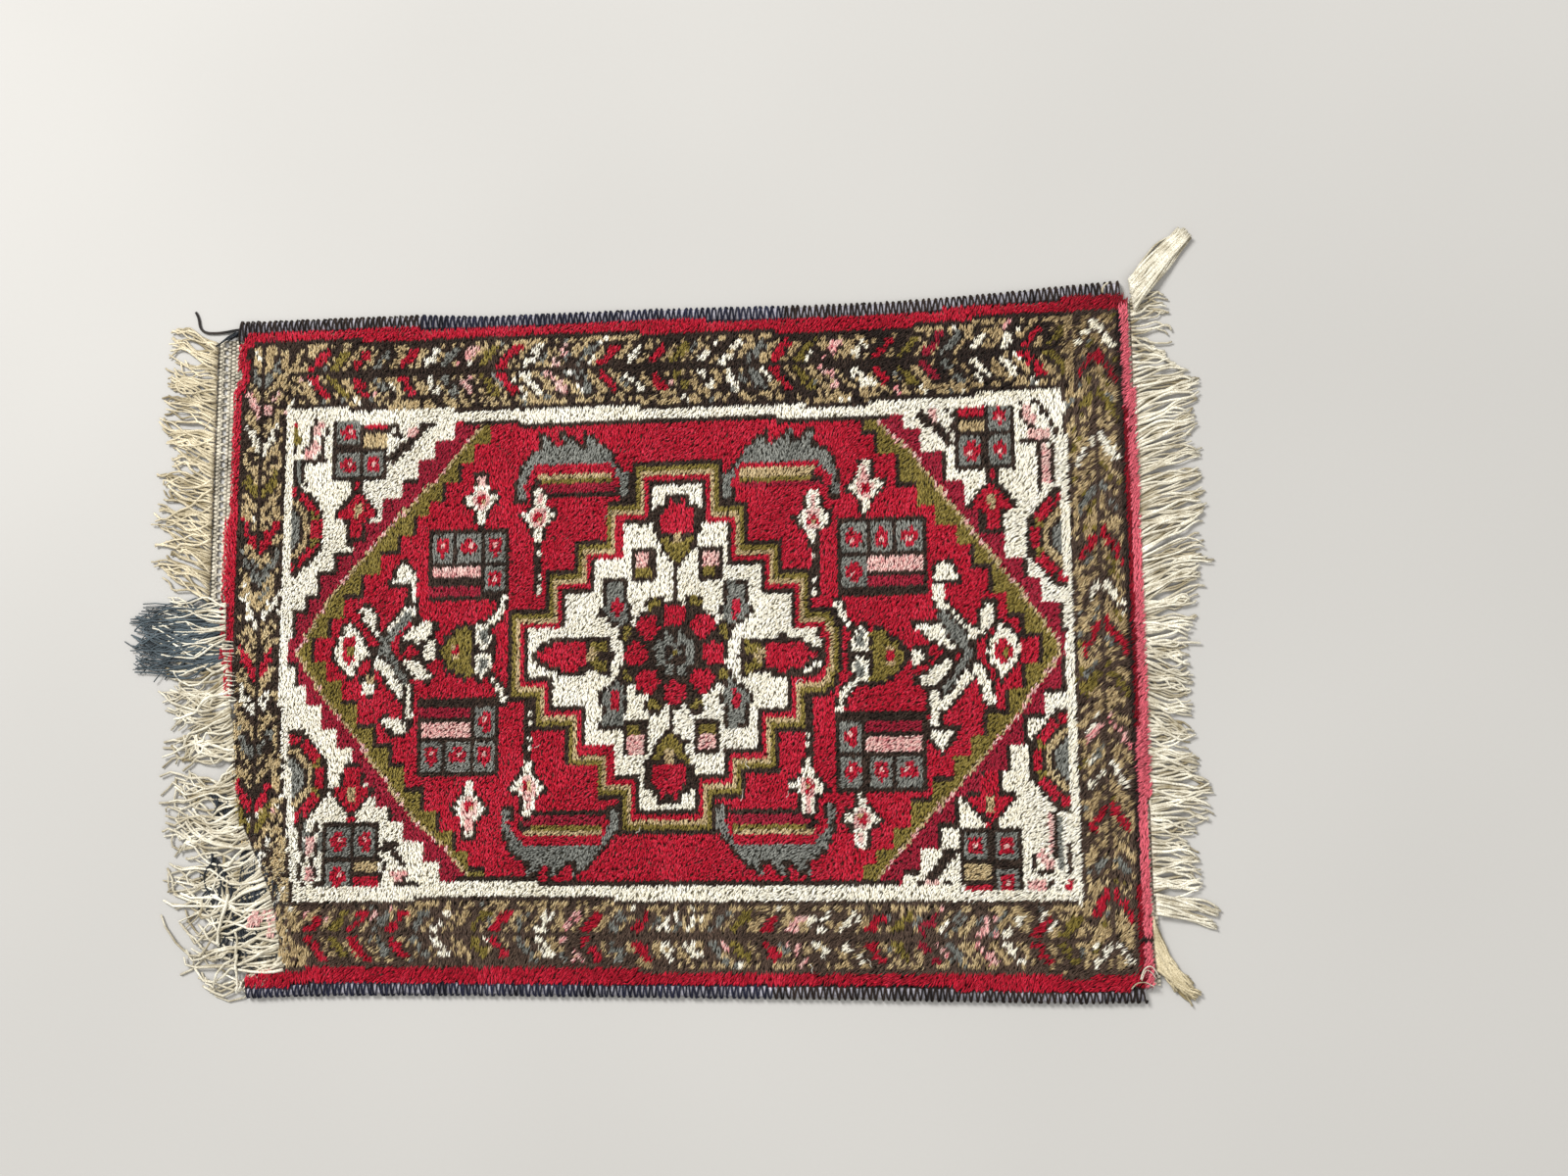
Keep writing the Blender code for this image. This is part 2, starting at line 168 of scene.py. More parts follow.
@dataclass(frozen=True)
class Pen:
    """Draws motifs in knots from its own place on the chart, turned over where a motif is mirrored."""

    chart: Chart
    at: Tuple[float, float] = (0.0, 0.0)
    turn: Tuple[float, float] = (1.0, 1.0)

    def points(self, flat: Sequence[float]) -> np.ndarray:
        """Points on the chart: the pen's place plus each pair, times the pen's turn."""
        return np.array(flat, float).reshape(-1, 2) * self.turn + self.at

    def fill(self, yarn: Yarn, *flat: float, edge: float = 0.0) -> None:
        """Fill a polygon, with an outline in dark brown round it when an edge is asked for.

        Args:
            yarn: The yarn to tie.
            flat: The points, in columns and rows from the pen's place.
            edge: Width of a dark outline round it, or 0 for none.
        """
        points = self.points(flat)
        if edge:
            around = np.vstack([points, points[:1]])
            self.chart.paint(B, self.chart.near(around) < edge)
        self.chart.paint(yarn, self.chart.inside(points))

    def box(self, yarn: Yarn, left: float, top: float, right: float, bottom: float, edge: float = 0.0) -> None:
        """Fill an upright rectangle."""
        self.fill(yarn, left, top, right, top, right, bottom, left, bottom, edge=edge)

    def line(self, yarn: Yarn, width: float, *flat: float, edge: float = 0.0) -> None:
        """Draw a line of the given width through the points.

        Args:
            yarn: The yarn to tie.
            width: Width of the line in knots.
            flat: The points, in columns and rows from the pen's place.
            edge: Width of a dark outline round it, or 0 for none.
        """
        away = self.chart.near(self.points(flat))
        if edge:
            self.chart.paint(B, away < width / 2 + edge)
        self.chart.paint(yarn, away < width / 2)

    def oval(self, yarn: Yarn, k: float, r: float, wide: float, high: float, edge: float = 0.0) -> None:
        """Fill an upright oval: the squares where the scaled distance from its middle is below one.

        Args:
            yarn: The yarn to tie.
            k: Column of its middle.
            r: Row of its middle.
            wide: Half its width in columns.
            high: Half its height in rows.
            edge: Width of a dark outline round it, or 0 for none.
        """
        (x, y), = self.points((k, r))
        if edge:
            rim = ((self.chart.k - x) / (wide + edge)) ** 2 + ((self.chart.r - y) / (high + edge)) ** 2
            self.chart.paint(B, rim < 1)
        away = ((self.chart.k - x) / wide) ** 2 + ((self.chart.r - y) / high) ** 2
        self.chart.paint(yarn, away < 1)


def repeat(chart: Chart, motif: Callable[[Pen], None], *places: Place) -> None:
    """Draw a motif at each place: its column and row, then 1 or -1 for each way it may be turned over."""
    for k, r, across, down in places:
        motif(Pen(chart, (k, r), (across, down)))


@dataclass
class Edges:
    """Where the pile ends on each side, and the guard stripes that follow those edges.

    Each edge is a line of places and the edge's distance at each, all in columns and rows.
    """

    top: Line = (
        -4, 3, -2, 1.6, 0, 0.3, 2, 0, 30, 0, 60, 1, 100, 1, 125, 1.8, 150, 2.4, 165, 2.1, 180, 1, 205, 0.4,
        217, 0.4
    )
    bottom: Line = (
        4, 137.2, 15, 136.6, 25, 135.5, 54, 135.6, 100, 136, 150, 136.2, 180, 136.6, 200, 137.1, 217, 136.2
    )
    left: Line = (0, 0, 3, -2.2, 6, -2.2, 8.5, -1.1, 10.5, -1.6, 13, -3.3, 40, -3.5, 66, -3.7, 78, -3.2)
    right: Line = (0, 216.4, 10, 216.2, 35, 217, 100, 216.5, 120, 215.9, 137, 215.8)
    worn: Line = (78, 0, 95, 0.4, 105, 2, 110, 5, 115, 8.6, 120, 10.8, 125, 12.4, 130, 13, 132.4, 15)
    band: float = 2.5
    outline: float = 1.0
    pink_band: float = 2.1
    right_outline: float = 3.4
    worn_from: float = 78.0

    def draw(self, chart: Chart) -> None:
        """Lay the guards and their dark outlines, then leave out every knot beyond an edge.

        Args:
            chart: The chart to draw on.
        """
        k, r = chart.k, chart.r
        bottom = follow(self.bottom, k)
        inward_top, inward_right = r - follow(self.top, k), follow(self.right, r) - k
        nearest = np.minimum.reduce([inward_top, bottom - r, k - follow(self.left, r), inward_right])
        chart.paint(B, nearest < self.band + self.outline)
        chart.paint(B, (inward_right < self.right_outline) & (r > 3))
        chart.paint(C, nearest < self.band)
        chart.paint(P, (inward_right < self.pink_band) & (inward_top > 1.2))
        # A short wine mend at the top left, and a dark one across the right guard
        chart.paint(W, (abs(k - 6.5) < 1.5) & (inward_top < 2.2) & (inward_top > 1.2))
        chart.paint(B, (inward_right < 2.4) & (abs(r - 127.5) < 0.8))
        # Beyond the edges and in the worn corner nothing is left but some bare ground and two pink tufts
        worn, above_guard = k < follow(self.worn, r), r < bottom - self.band
        chart.paint(None, (nearest < 0) | ((r > self.worn_from) & worn & above_guard))
        chart.knots[(r > BARE_TOP) & above_guard & worn & (k > bare_from(r))] = BARE
        slanting = (abs(k - 7 + 0.6 * (r - 123.8)) < 1.9) & (abs(r - 123.8) < 1.5)
        upright = (abs(k - 11.2) < 0.9) & (abs(r - 124.5) < 2.3)
        chart.paint(P, (slanting | upright) & worn)
        # A nick in the left edge and two cut corners
        chart.paint(None, (r > 66.3) & (r < 68) & (k < -1.2))
        chart.paint(None, (r > BARE_BOTTOM) & (k < 5.5))
        chart.paint(None, (k > 214) & (r < 1.2) & (k - 214 > r))


@dataclass
class LeafBorder:
    """A border of slanting leaves either side of a dark middle line.

    A knot belongs to the leaf whose stretch holds its phase: its place along the border, less the slope
    times its distance from the middle line. Flecks are stretches of phase too, cut into short lengths.
    """

    leaves: Tuple[Tuple[float, Yarn], ...]
    middle: Line
    slope: float
    width: float
    reach: float
    upright: bool = False
    leaf: float = 2.3
    outline: float = 0.8
    broken: float = 0.15
    whole: Tuple[Yarn, ...] = (C, O)
    fleck_width: float = 1.05
    fleck_length: float = 2.1
    flecks: Tuple[Tuple[Yarn, float], ...] = ((T, 0.52), (B, 0.24), (I, 0.12), (S, 0.07), (P, 0.05))

    def draw(self, chart: Chart, area: np.ndarray, draws: np.random.Generator) -> None:
        """Fill the area with tan, then the leaves, their outlines and the middle line.

        Args:
            chart: The chart to draw on.
            area: The knots that the border takes up.
            draws: Random numbers for the odd knots tied in a neighbouring yarn.
        """
        along, across = (chart.r, chart.k) if self.upright else (chart.k, chart.r)
        away = across - follow(self.middle, along)
        phase = along - self.slope * abs(away)
        self.fleck(chart, area, phase, away, draws)
        within = area & (abs(away) < self.reach)
        phase = phase + 0.7 * (draws.random(chart.k.shape) - 0.5)
        for start, _ in self.leaves:
            chart.paint(
                B, within & (phase - start > -self.outline) & (phase - start < self.leaf + self.outline)
            )
        odd = draws.random(chart.k.shape)
        for start, yarn in self.leaves:
            leaf = within & (phase - start > 0) & (phase - start < self.leaf)
            dark, tan = (0.02, 0.0) if yarn in self.whole else (self.broken, 0.08)
            chart.paint(yarn, leaf)
            chart.paint(B, leaf & (odd < dark))
            chart.paint(T, leaf & (odd > 1 - tan))
        chart.paint(B, area & (draws.random(chart.k.shape) < 0.04))
        chart.paint(B, area & (abs(away) < self.width / 2))
        chart.paint(B, area & (abs(abs(away) - self.reach) < 0.45) & (draws.random(chart.k.shape) < 0.45))

    def fleck(
        self, chart: Chart, area: np.ndarray, phase: np.ndarray, away: np.ndarray, draws: np.random.Generator
    ) -> None:
        """Tie the ground in short slanting flecks, each of one yarn drawn by the border's own shares.

        Args:
            chart: The chart to draw on.
            area: The knots that the border takes up.
            phase: Place along the border less the slope's share, which is the same all along a leaf.
            away: Distance from the middle line.
            draws: Random numbers.
        """
        stripe = np.floor((phase + 60) / self.fleck_width).astype(int)
        length = np.floor((away + 40) / self.fleck_length + 0.37 * (stripe % 5)).astype(int)
        drawn = draws.random((400, 60))[np.clip(stripe, 0, 399), np.clip(length, 0, 59)]
        bound = 0.0
        for yarn, share in self.flecks:
            chart.paint(yarn, area & (drawn >= bound) & (drawn <= bound + share))
            bound += share


def flower_cell(pen: Pen, k: float, r: float, wide: float = 5.6, high: float = 6.0) -> None:
    """A slate square with a small red flower and a pale eye, outlined in dark brown.

    Args:
        pen: Where the motif goes and which way it is turned.
        k: Column of its middle.
        r: Row of its middle.
        wide: Width in columns.
        high: Height in rows.
    """
    pen.box(S, k - wide / 2, r - high / 2, k + wide / 2, r + high / 2, edge=0.9)
    pen.oval(C, k, r, 1.75, 1.75)
    pen.oval(P, k + 0.1, r + 0.1, 0.6, 0.6)


def sprig(pen: Pen) -> None:
    """A small ivory flower with four points, a red eye and a pale bud above it.

    Args:
        pen: Where the motif goes and which way it is turned.
    """
    pen.fill(
        I, -4.4, 0, -1.7, -1.6, -1.2, -5.4, 1.2, -5.4, 1.6, -1.7, 4.3, -0.7, 2.6, 1.3, 1, 2.6, 0.6, 5.2,
        -0.7, 5.2, -1.3, 2.6, -2.6, 1.4, edge=0.7
    )
    pen.oval(P, 0, -0.1, 1.9, 2.2)
    pen.oval(C, 0, 0.3, 1.1, 1.3)
    pen.oval(P, 0, -3.8, 0.7, 1.2)
    pen.oval(T, 0.1, 0.4, 0.55, 0.6)


@dataclass
class FieldDesign:
    """The red field's own motifs: combs, boxes of flowers, sprigs and the two palmettes."""

    comb_places: Tuple[Place, ...] = (
        (82.8, 31.6, 1, 1), (134.6, 32.4, -1, 1), (80.2, 108.4, 1, -1), (132.6, 108.2, -1, -1)
    )
    box_places: Tuple[Place, ...] = (
        (58, 51.4, 1, 1), (157.5, 51.8, -1, 1), (56, 87.2, 1, -1), (156.4, 91.2, -1, -1)
    )
    sprig_places: Tuple[Place, ...] = (
        (61, 38, 1, 1), (153.8, 37.6, 1, 1), (59, 101.5, 1, -1), (151.8, 104.2, 1, -1)
    )
    stem_places: Tuple[Place, ...] = (
        (75.2, 41.8, 1, 15.5), (141.5, 43.8, 1, 15.5), (73.2, 97.4, -1, 17), (139.6, 97.6, -1, 17)
    )

    def comb(self, pen: Pen) -> None:
        """A slate arch with three antlers, over a red line, an olive line and a wine bar.

        Args:
            pen: Where the motif goes and which way it is turned.
        """
        pen.fill(
            S, -13, 6.6, -12.8, 2.6, -11, -1.4, -8, -3.4, -6.4, -4, -7.2, -7, -4.6, -5.4, -3.4, -4.2,
            -0.8, -4.2, -2, -7, 0.6, -5.4, 2.2, -4, 4.6, -4, 4, -6.6, 6.8, -4.8, 8.4, -3.8, 10.4, -1.4,
            12.4, 1, 14.6, 2.4, 14.4, 6.6, 12.4, 6.8, 12.2, 3, 10.4, -0.4, -8.2, -0.4, -10.8, 2.4, -11.2, 6.8,
            edge=0.7,
        )
        pen.line(C, 1.5, -11, 3.8, -7.6, 0.1, 9.8, 0.1, 11.8, 3.8)
        pen.line(T, 1.3, -7.4, 1.6, 10, 1.6)
        pen.line(O, 0.9, -7.4, 2.7, 10, 2.7)
        pen.box(W, -8, 3.3, 11, 5.0)
        pen.line(B, 1.0, -7.5, 5.6, 12, 5.6)
        pen.line(B, 1.4, -9, 3.6, -7.2, 2.6)

    def box(self, pen: Pen) -> None:
        """Four flower cells, a pale bar and two wine bars, set in dark brown.

        Args:
            pen: Where the motif goes and which way it is turned.
        """
        pen.box(B, -10.4, -7.6, 10.4, 7.8)
        for k in (-6.6, 0, 6.6):
            flower_cell(pen, k, -3.6, 5.4, 5.6)
        flower_cell(pen, 6.6, 3.2, 5.4, 5.4)
        pen.box(P, -9.2, 0.4, 3.0, 3.0)
        pen.box(W, -9.6, 4.2, 3.2, 6.2)

    def bud(self, pen: Pen) -> None:
        """An olive bud between two grey petals, with ivory strokes that run out beside the medallion.

        Args:
            pen: Where the motif goes and which way it is turned.
        """
        pen.fill(O, -5, -4, -2, -5, 2, -2.4, 4, 0.2, 2, 3.4, -2, 5.6, -5, 5, -3.6, 0.4, edge=0.9)
        pen.oval(T, 0.4, 0.2, 1.5, 1.9)
        pen.oval(C, 0.3, 0.2, 0.9, 1.2)
        for side in (-1, 1):
            petal = Pen(pen.chart, pen.at, (pen.turn[0], pen.turn[1] * side))
            petal.fill(I, -9, -1, -7.6, -4.6, -5.4, -5.8, -4.6, -3, -5, -1, -7, -0.4, edge=0.8)
            petal.fill(S, -8, -1.4, -7, -4, -6, -4.4, -5.8, -1.8)
            petal.line(I, 1.4, -8.6, -5.8, -10.4, -7.6, -11.6, -10.4, edge=0.7)

    def left_palmette(self, pen: Pen) -> None:
        """The tip motif at the left: a diamond flower and a spray of crossing leaves.

        Args:
            pen: Where the motif goes and which way it is turned.
        """
        pen.fill(
            I, 28.4, 63, 31.6, 66, 32.2, 68, 34.6, 69.3, 31.6, 71, 29, 74.4, 27.4, 72.6, 24.6, 69.6, 25.6, 67.4,
            edge=0.8
        )
        pen.oval(C, 28.5, 68.8, 1.9, 2.9)
        pen.oval(O, 28.9, 69.2, 1.0, 1.4)
        pen.fill(I, 30.8, 60.6, 33, 60, 35, 61.6, 35.4, 65, 36.6, 67.4, 34.6, 65.2, edge=0.8)
        pen.line(I, 1.7, 42.4, 61.8, 38.6, 65.4, edge=0.8)
        pen.fill(I, 43.4, 58.4, 45.2, 58.4, 45.2, 62, 42.6, 62.8, 41, 61.4, edge=0.7)
        pen.line(I, 1.2, 44.3, 55.2, 44.3, 58.8, edge=0.6)
        pen.fill(I, 42, 50.4, 44, 52.6, 45.2, 54.6, 38.6, 55, edge=0.8)
        pen.line(S, 2.2, 36.6, 67.6, 40.6, 64.6, 43.4, 61.6)
        pen.line(S, 2.4, 37.2, 68.6, 42, 75.4, edge=0.6)
        pen.fill(I, 41.6, 67.2, 43.6, 64.6, 46.4, 63.2, 50.2, 63.6, 47.8, 66.6, 45, 68, edge=0.8)
        pen.fill(C, 41.8, 69.2, 44, 67.6, 46.6, 69.2, 44.2, 71.2, edge=0.8)
        pen.fill(I, 46.6, 68.2, 49.8, 67, 50, 70.6, 47, 70.8, edge=0.8)
        pen.fill(I, 42, 71.4, 45.4, 71.2, 48.8, 74.8, 44.6, 74.6, edge=0.8)
        pen.line(I, 2.2, 35.6, 71.2, 38, 73, 40.6, 77, 43.2, 79, edge=0.7)
        pen.line(I, 1.5, 43.6, 76.6, 43.8, 83.6, edge=0.6)
        pen.fill(I, 37.2, 83.2, 44.2, 83.6, 42.6, 85.6, 41, 86.8, 39.4, 85.4, edge=0.8)
        pen.fill(I, 32.2, 74.8, 34.4, 74, 35.2, 76, 34.4, 78, 32.4, 77.6, edge=0.8)
        pen.oval(T, 34, 75.4, 0.9, 1.2)

    def right_palmette(self, pen: Pen) -> None:
        """The tip motif at the right, drawn a little larger than the left one.

        Args:
            pen: Where the motif goes and which way it is turned.
        """
        pen.fill(
            I, 184.8, 66, 187.6, 68.4, 188.8, 71, 187.6, 74, 184.8, 77, 182.4, 73.8, 181.2, 71, 183, 68.2,
            edge=0.8
        )
        pen.oval(C, 185, 71.8, 1.8, 2.6)
        pen.oval(O, 185.4, 72, 0.9, 1.3)
        pen.fill(
            I, 180.6, 62.2, 183.2, 62.2, 183.2, 64.6, 181.6, 67.4, 178.4, 69, 176.4, 67, 179.6, 66.6, edge=0.8
        )
        pen.line(I, 2.2, 170.4, 57.4, 170.6, 61.2, 174.6, 65.4, 177.6, 68, edge=0.7)
        pen.fill(I, 171.4, 53.4, 173.6, 53.6, 175.2, 57.2, 169.4, 57, 169.8, 55, edge=0.8)
        pen.fill(I, 164.8, 66, 169.8, 65.6, 172, 68, 174.4, 71.4, 170.4, 70, edge=0.8)
        pen.line(S, 2.4, 171.4, 64.6, 174.6, 68, 177.4, 71.4, edge=0.6)
        pen.fill(C, 167.6, 71, 169.4, 69.8, 171, 71.2, 169.4, 73.2, edge=0.8)
        pen.fill(I, 163.8, 71.6, 166, 70.8, 167, 73.2, 164.6, 73.8, edge=0.8)
        pen.fill(I, 164.4, 77.2, 168, 75.4, 172.6, 72.6, 173.6, 74, 170.6, 77.4, 167, 77.8, edge=0.8)
        pen.line(S, 2.4, 177.2, 72.2, 174.6, 76.2, 171.8, 79.2, edge=0.6)
        pen.line(I, 1.8, 176.8, 76, 173.4, 80.2, 169.6, 83, 168.8, 86, edge=0.7)
        pen.line(I, 2.2, 178.6, 74.8, 180.8, 77.4, 181.6, 81, edge=0.7)
        pen.line(I, 1.6, 168.8, 79.4, 168.9, 84, edge=0.6)
        pen.fill(I, 167.8, 87.4, 170.4, 86.6, 174, 86.6, 172.4, 88.6, 170.8, 90.8, 168.6, 89.4, edge=0.8)

    def draw(self, chart: Chart) -> None:
        """Place every motif.

        Args:
            chart: The chart to draw on.
        """
        repeat(chart, self.comb, *self.comb_places)
        repeat(chart, self.box, *self.box_places)
        repeat(chart, sprig, *self.sprig_places)
        for k, r, down, length in self.stem_places:
            stem = Pen(chart, (k, r), (1, down))
            stem.line(I, 1.0, 0, 3, 0.2, length, edge=0.45)
            for step in np.arange(6.2, length - 1, 2.4):
                stem.line(B, 1.0, 0, step, 0.1, step + 0.7)
            sprig(stem)
        repeat(chart, self.bud, (158.6, 71.8, 1, 1), (55.4, 69.2, -1, 1))
        self.left_palmette(Pen(chart))
        self.right_palmette(Pen(chart))


@dataclass
class Medallion:
    """The stepped medallion: nested outlines, the ivory ground, four tulips and the rosette."""

    outline: Line = (
        *stairs(119.8, 31, 39.6, 126, 47.8, 134, 54.2, 141, 61.6),
        *(145.4, 62, 147.6, 65.4, 147.8, 74.4, 146.2, 78.6, 144.6, 80),
        *stairs(140, 80, 87, 133, 94.6, 125, 99.8, 118.2, 106.6, 95, 99.8, 89.6, 93.4, 82, 86.2, 74.4, 79.6),
        *stairs(68.4, 79.6, 60.6, 77, 53.4, 84.4, 46.6, 91.6, 39.4, 98, 31),
    )
    bands: Tuple[Tuple[float, Yarn], ...] = ((4.8, B), (4.0, C), (2.9, T), (1.9, O), (0.9, B))
    middle: Tuple[float, float] = (108.4, 70.8)
    petal_ring: Tuple[float, float] = (9.3, 7.9)

    def rosette(self, chart: Chart) -> None:
        """Eight red petals on a dark ground round a slate flower with eight lobes.

        Args:
            chart: The chart to draw on.
        """
        pen = Pen(chart, self.middle)
        angles = np.radians(22.5 + 45 * np.arange(8))
        for angle in angles:
            pen.oval(O, 12.3 * math.cos(angle), 10.9 * math.sin(angle), 1.5, 1.4, edge=0.8)
        pen.oval(B, 0, 0, 11.8, 10.4)
        for angle in np.radians(45 * np.arange(8)):
            pen.oval(
                C, self.petal_ring[0] * math.cos(angle), self.petal_ring[1] * math.sin(angle), 2.75, 2.4,
                edge=0.6
            )
        pen.oval(B, 0, 0, 5.9, 5.2)
        for angle in angles:
            pen.oval(S, 3.9 * math.cos(angle), 3.4 * math.sin(angle), 1.35, 1.25)
        pen.oval(S, 0, 0, 1.6, 1.5)
        pen.line(B, 0.9, -1, -1, 1, 1)
        pen.oval(O, 0.4, -0.2, 0.6, 0.6)

    def tulip(self, pen: Pen) -> None:
        """A red bud on an olive calyx, pointing up the chart.

        Args:
            pen: Where the motif goes and which way it is turned.
        """
        pen.fill(
            C, -1.6, -5.6, 0, -4.4, 1.6, -5.6, 2.6, -3.6, 4.4, -3, 4.2, 1.4, -4.4, 1.2, -4.4, -2.8, -2.6, -3.4,
            edge=1.3
        )
        pen.fill(
            O, -4.6, 1.4, -1.4, 3, 0, 1.6, 1.6, 3, 4.6, 1.6, 2.8, 5, 0.6, 7.4, -0.6, 7.4, -2.8, 5, edge=0.8
        )
        pen.oval(T, 0, 2.4, 1.1, 1.5)

    def side_tulip(self, pen: Pen) -> None:
        """The longer bud on the medallion's long axis, pointing left on the chart.

        Args:
            pen: Where the motif goes and which way it is turned.
        """
        pen.fill(C, -8, 0, -4.4, -2.2, 0, -3, 4.8, -2.2, 3.8, -0.6, 3.8, 1, 4.8, 2.2, 0, 3.2, -4.4, 2, edge=1.3)
        pen.fill(O, 4.8, -2.4, 9, -3.2, 9.6, 0, 9, 3.4, 4.8, 2.4, edge=0.8)
        pen.fill(B, 6.6, -1, 11, -0.8, 11, 0.8, 6.6, 1)
        pen.oval(T, 5.4, -0.2, 1.2, 1.4)

    def leaf(self, pen: Pen) -> None:
        """A slate leaf with a red eye, on the diagonal towards a corner of the medallion."""
        pen.fill(
            S, -2.4, -6, 2, -6.2, 2, -3.4, 3, -0.8, 2.6, 2, 3.6, 4.8, 0.6, 2.4, -3, 0, -1.8, -2.6, edge=0.9
        )
        pen.oval(C, 0.4, -0.8, 1.2, 1.9)

    def casket(self, pen: Pen) -> None:
        """A pink square on an olive one, outlined.

        Args:
            pen: Where the motif goes and which way it is turned.
        """
        pen.box(B, -3, -3.6, 3, 3.8)
        pen.box(P, -2, -2.8, 1.8, 0.4)
        pen.box(O, -1.6, 0.4, 2, 2.9)

    def draw(self, chart: Chart) -> None:
        """Nest the outlines by their distance from the outermost one, then place the flowers.

        Args:
            chart: The chart to draw on.
        """
        pen = Pen(chart)
        points = pen.points(self.outline)
        within = chart.inside(points)
        away = chart.near(np.vstack([points, points[:1]]), square=True)
        chart.paint(I, within)
        for depth, yarn in self.bands:
            chart.paint(yarn, within & (away < depth))
        repeat(chart, self.leaf, (94, 62, 1, 1), (123.2, 62.6, -1, 1), (93.6, 79, 1, -1), (123.2, 79.4, -1, -1))
        repeat(
            chart, self.casket, (100.6, 52.4, 1, 1), (116.8, 52.6, -1, 1), (98.8, 87.9, -1, -1),
            (115.8, 87.6, 1, -1)
        )
        pen.line(B, 1.0, 104, 46.4, 108.8, 53, 108.9, 60)
        pen.line(B, 1.0, 114, 47.4, 109.4, 53)
        pen.line(B, 1.0, 103, 92, 107, 86.8, 107.6, 82)
        pen.line(B, 1.0, 111.6, 88.6, 108, 87)
        repeat(chart, self.tulip, (109, 44.6, 1, 1), (107, 94.2, 1, -1))
        repeat(chart, self.side_tulip, (83, 70.8, 1, 1), (134, 71.6, -1, 1))
        self.rosette(chart)


@dataclass
class Hexagon:
    """The hexagon's two stepped bands with a pale line between them, and the ivory corners outside them."""

    left_cream: Line = (
        61, 22, 54, 29, 50, 33, 45, 37, 38, 43, 30, 51, 24, 57, 18, 65, 15.5, 69, 18, 73, 24, 80, 30, 86,
        36, 93, 46, 104, 54, 110, 60.5, 116.6
    )
    right_cream: Line = (
        155.6, 22.6, 160, 27, 165, 31, 168, 35, 175, 43, 180, 49, 187, 57, 193, 64, 197.6, 70, 198, 72, 193, 78,
        187, 85, 181, 91, 175, 97, 165, 106, 160, 111, 154, 116.8
    )
    left_red: Line = stairs(
        54, 22, 25, 49, 29, 45, 33.6, 41, 37, 36, 42, 27, 46.6, 29, 48.4, 24.6, 52.6, 20.6, 57.4, 17.4, 60.6,
        14.4, 66, 12.4, 71.4, 15.2, 76, 18, 80, 22, 85, 26, 89, 30, 96, 34, 99, 36, 101, 39.6, 104, 43, 108,
        48, 112, 52, 117
    )
    right_red: Line = stairs(
        163, 22, 26, 167, 31, 172.6, 37, 177, 42.6, 180.6, 48, 186, 53, 190.6, 57, 194, 62, 198.2, 67.6,
        201.4, 73.6, 198.2, 79.6, 194, 84.6, 189.6, 90, 185.4, 95, 179, 100, 173.6, 105.6, 169.8, 110,
        165, 114.4, 161, 117.6
    )
    left_olive: Line = stairs(
        63, 22, 26, 59, 30, 55.6, 34, 51.6, 38, 48, 41, 44.6, 45, 40.4, 48.6, 36, 53, 31.2, 57.6, 27, 62,
        23.2, 66, 19.2, 71, 23, 75, 27, 79.6, 31, 84.4, 35.2, 88.6, 39.4, 92.6, 43, 97.4, 47.4, 102, 51.6, 106,
        55.4, 110, 59, 113.6, 63, 117
    )
    right_olive: Line = stairs(
        153.4, 22, 26.6, 156.8, 31, 161.6, 37.4, 166, 42, 170, 46, 175, 50, 178.6, 54.8, 182.2, 60, 186, 64.2,
        189.6, 68.4, 193.8, 74, 189.8, 79, 185.2, 83.6, 180.6, 88, 177, 92, 173, 96.6, 168, 100.4, 163, 106,
        159, 110, 155, 113, 152, 117
    )

    def draw(self, chart: Chart, draws: np.random.Generator) -> None:
        """Ivory out to the frame, then red, cream and olive from the steps inwards.

        Args:
            chart: The chart to draw on.
            draws: Random numbers.
        """
        pen = Pen(chart)
        sides = (
            (FIRST_COLUMN - 1, self.left_cream, self.left_red, self.left_olive),
            (LAST_COLUMN + 1, self.right_cream, self.right_red, self.right_olive),
        )
        for side, cream, red, olive in sides:
            pen.fill(I, side, 15, red[0], 15, *red, red[-2], 123, side, 123)
            chart.paint(W, chart.inside(pen.points((*red, *self.back(olive)))))
            chart.paint(O, chart.inside(pen.points((*cream, *self.back(olive)))))
            for steps in (red, olive):
                chart.paint(B, chart.near(pen.points(steps), square=True) < 0.5)
            line = chart.near(pen.points(cream)) < 0.45
            chart.paint(T, line)
            chart.paint(P, line & (draws.random(chart.k.shape) < 0.3))

    def back(self, flat: Line) -> Line:
        """The same points from last to first."""
        return tuple(np.array(flat, float).reshape(-1, 2)[::-1].ravel())


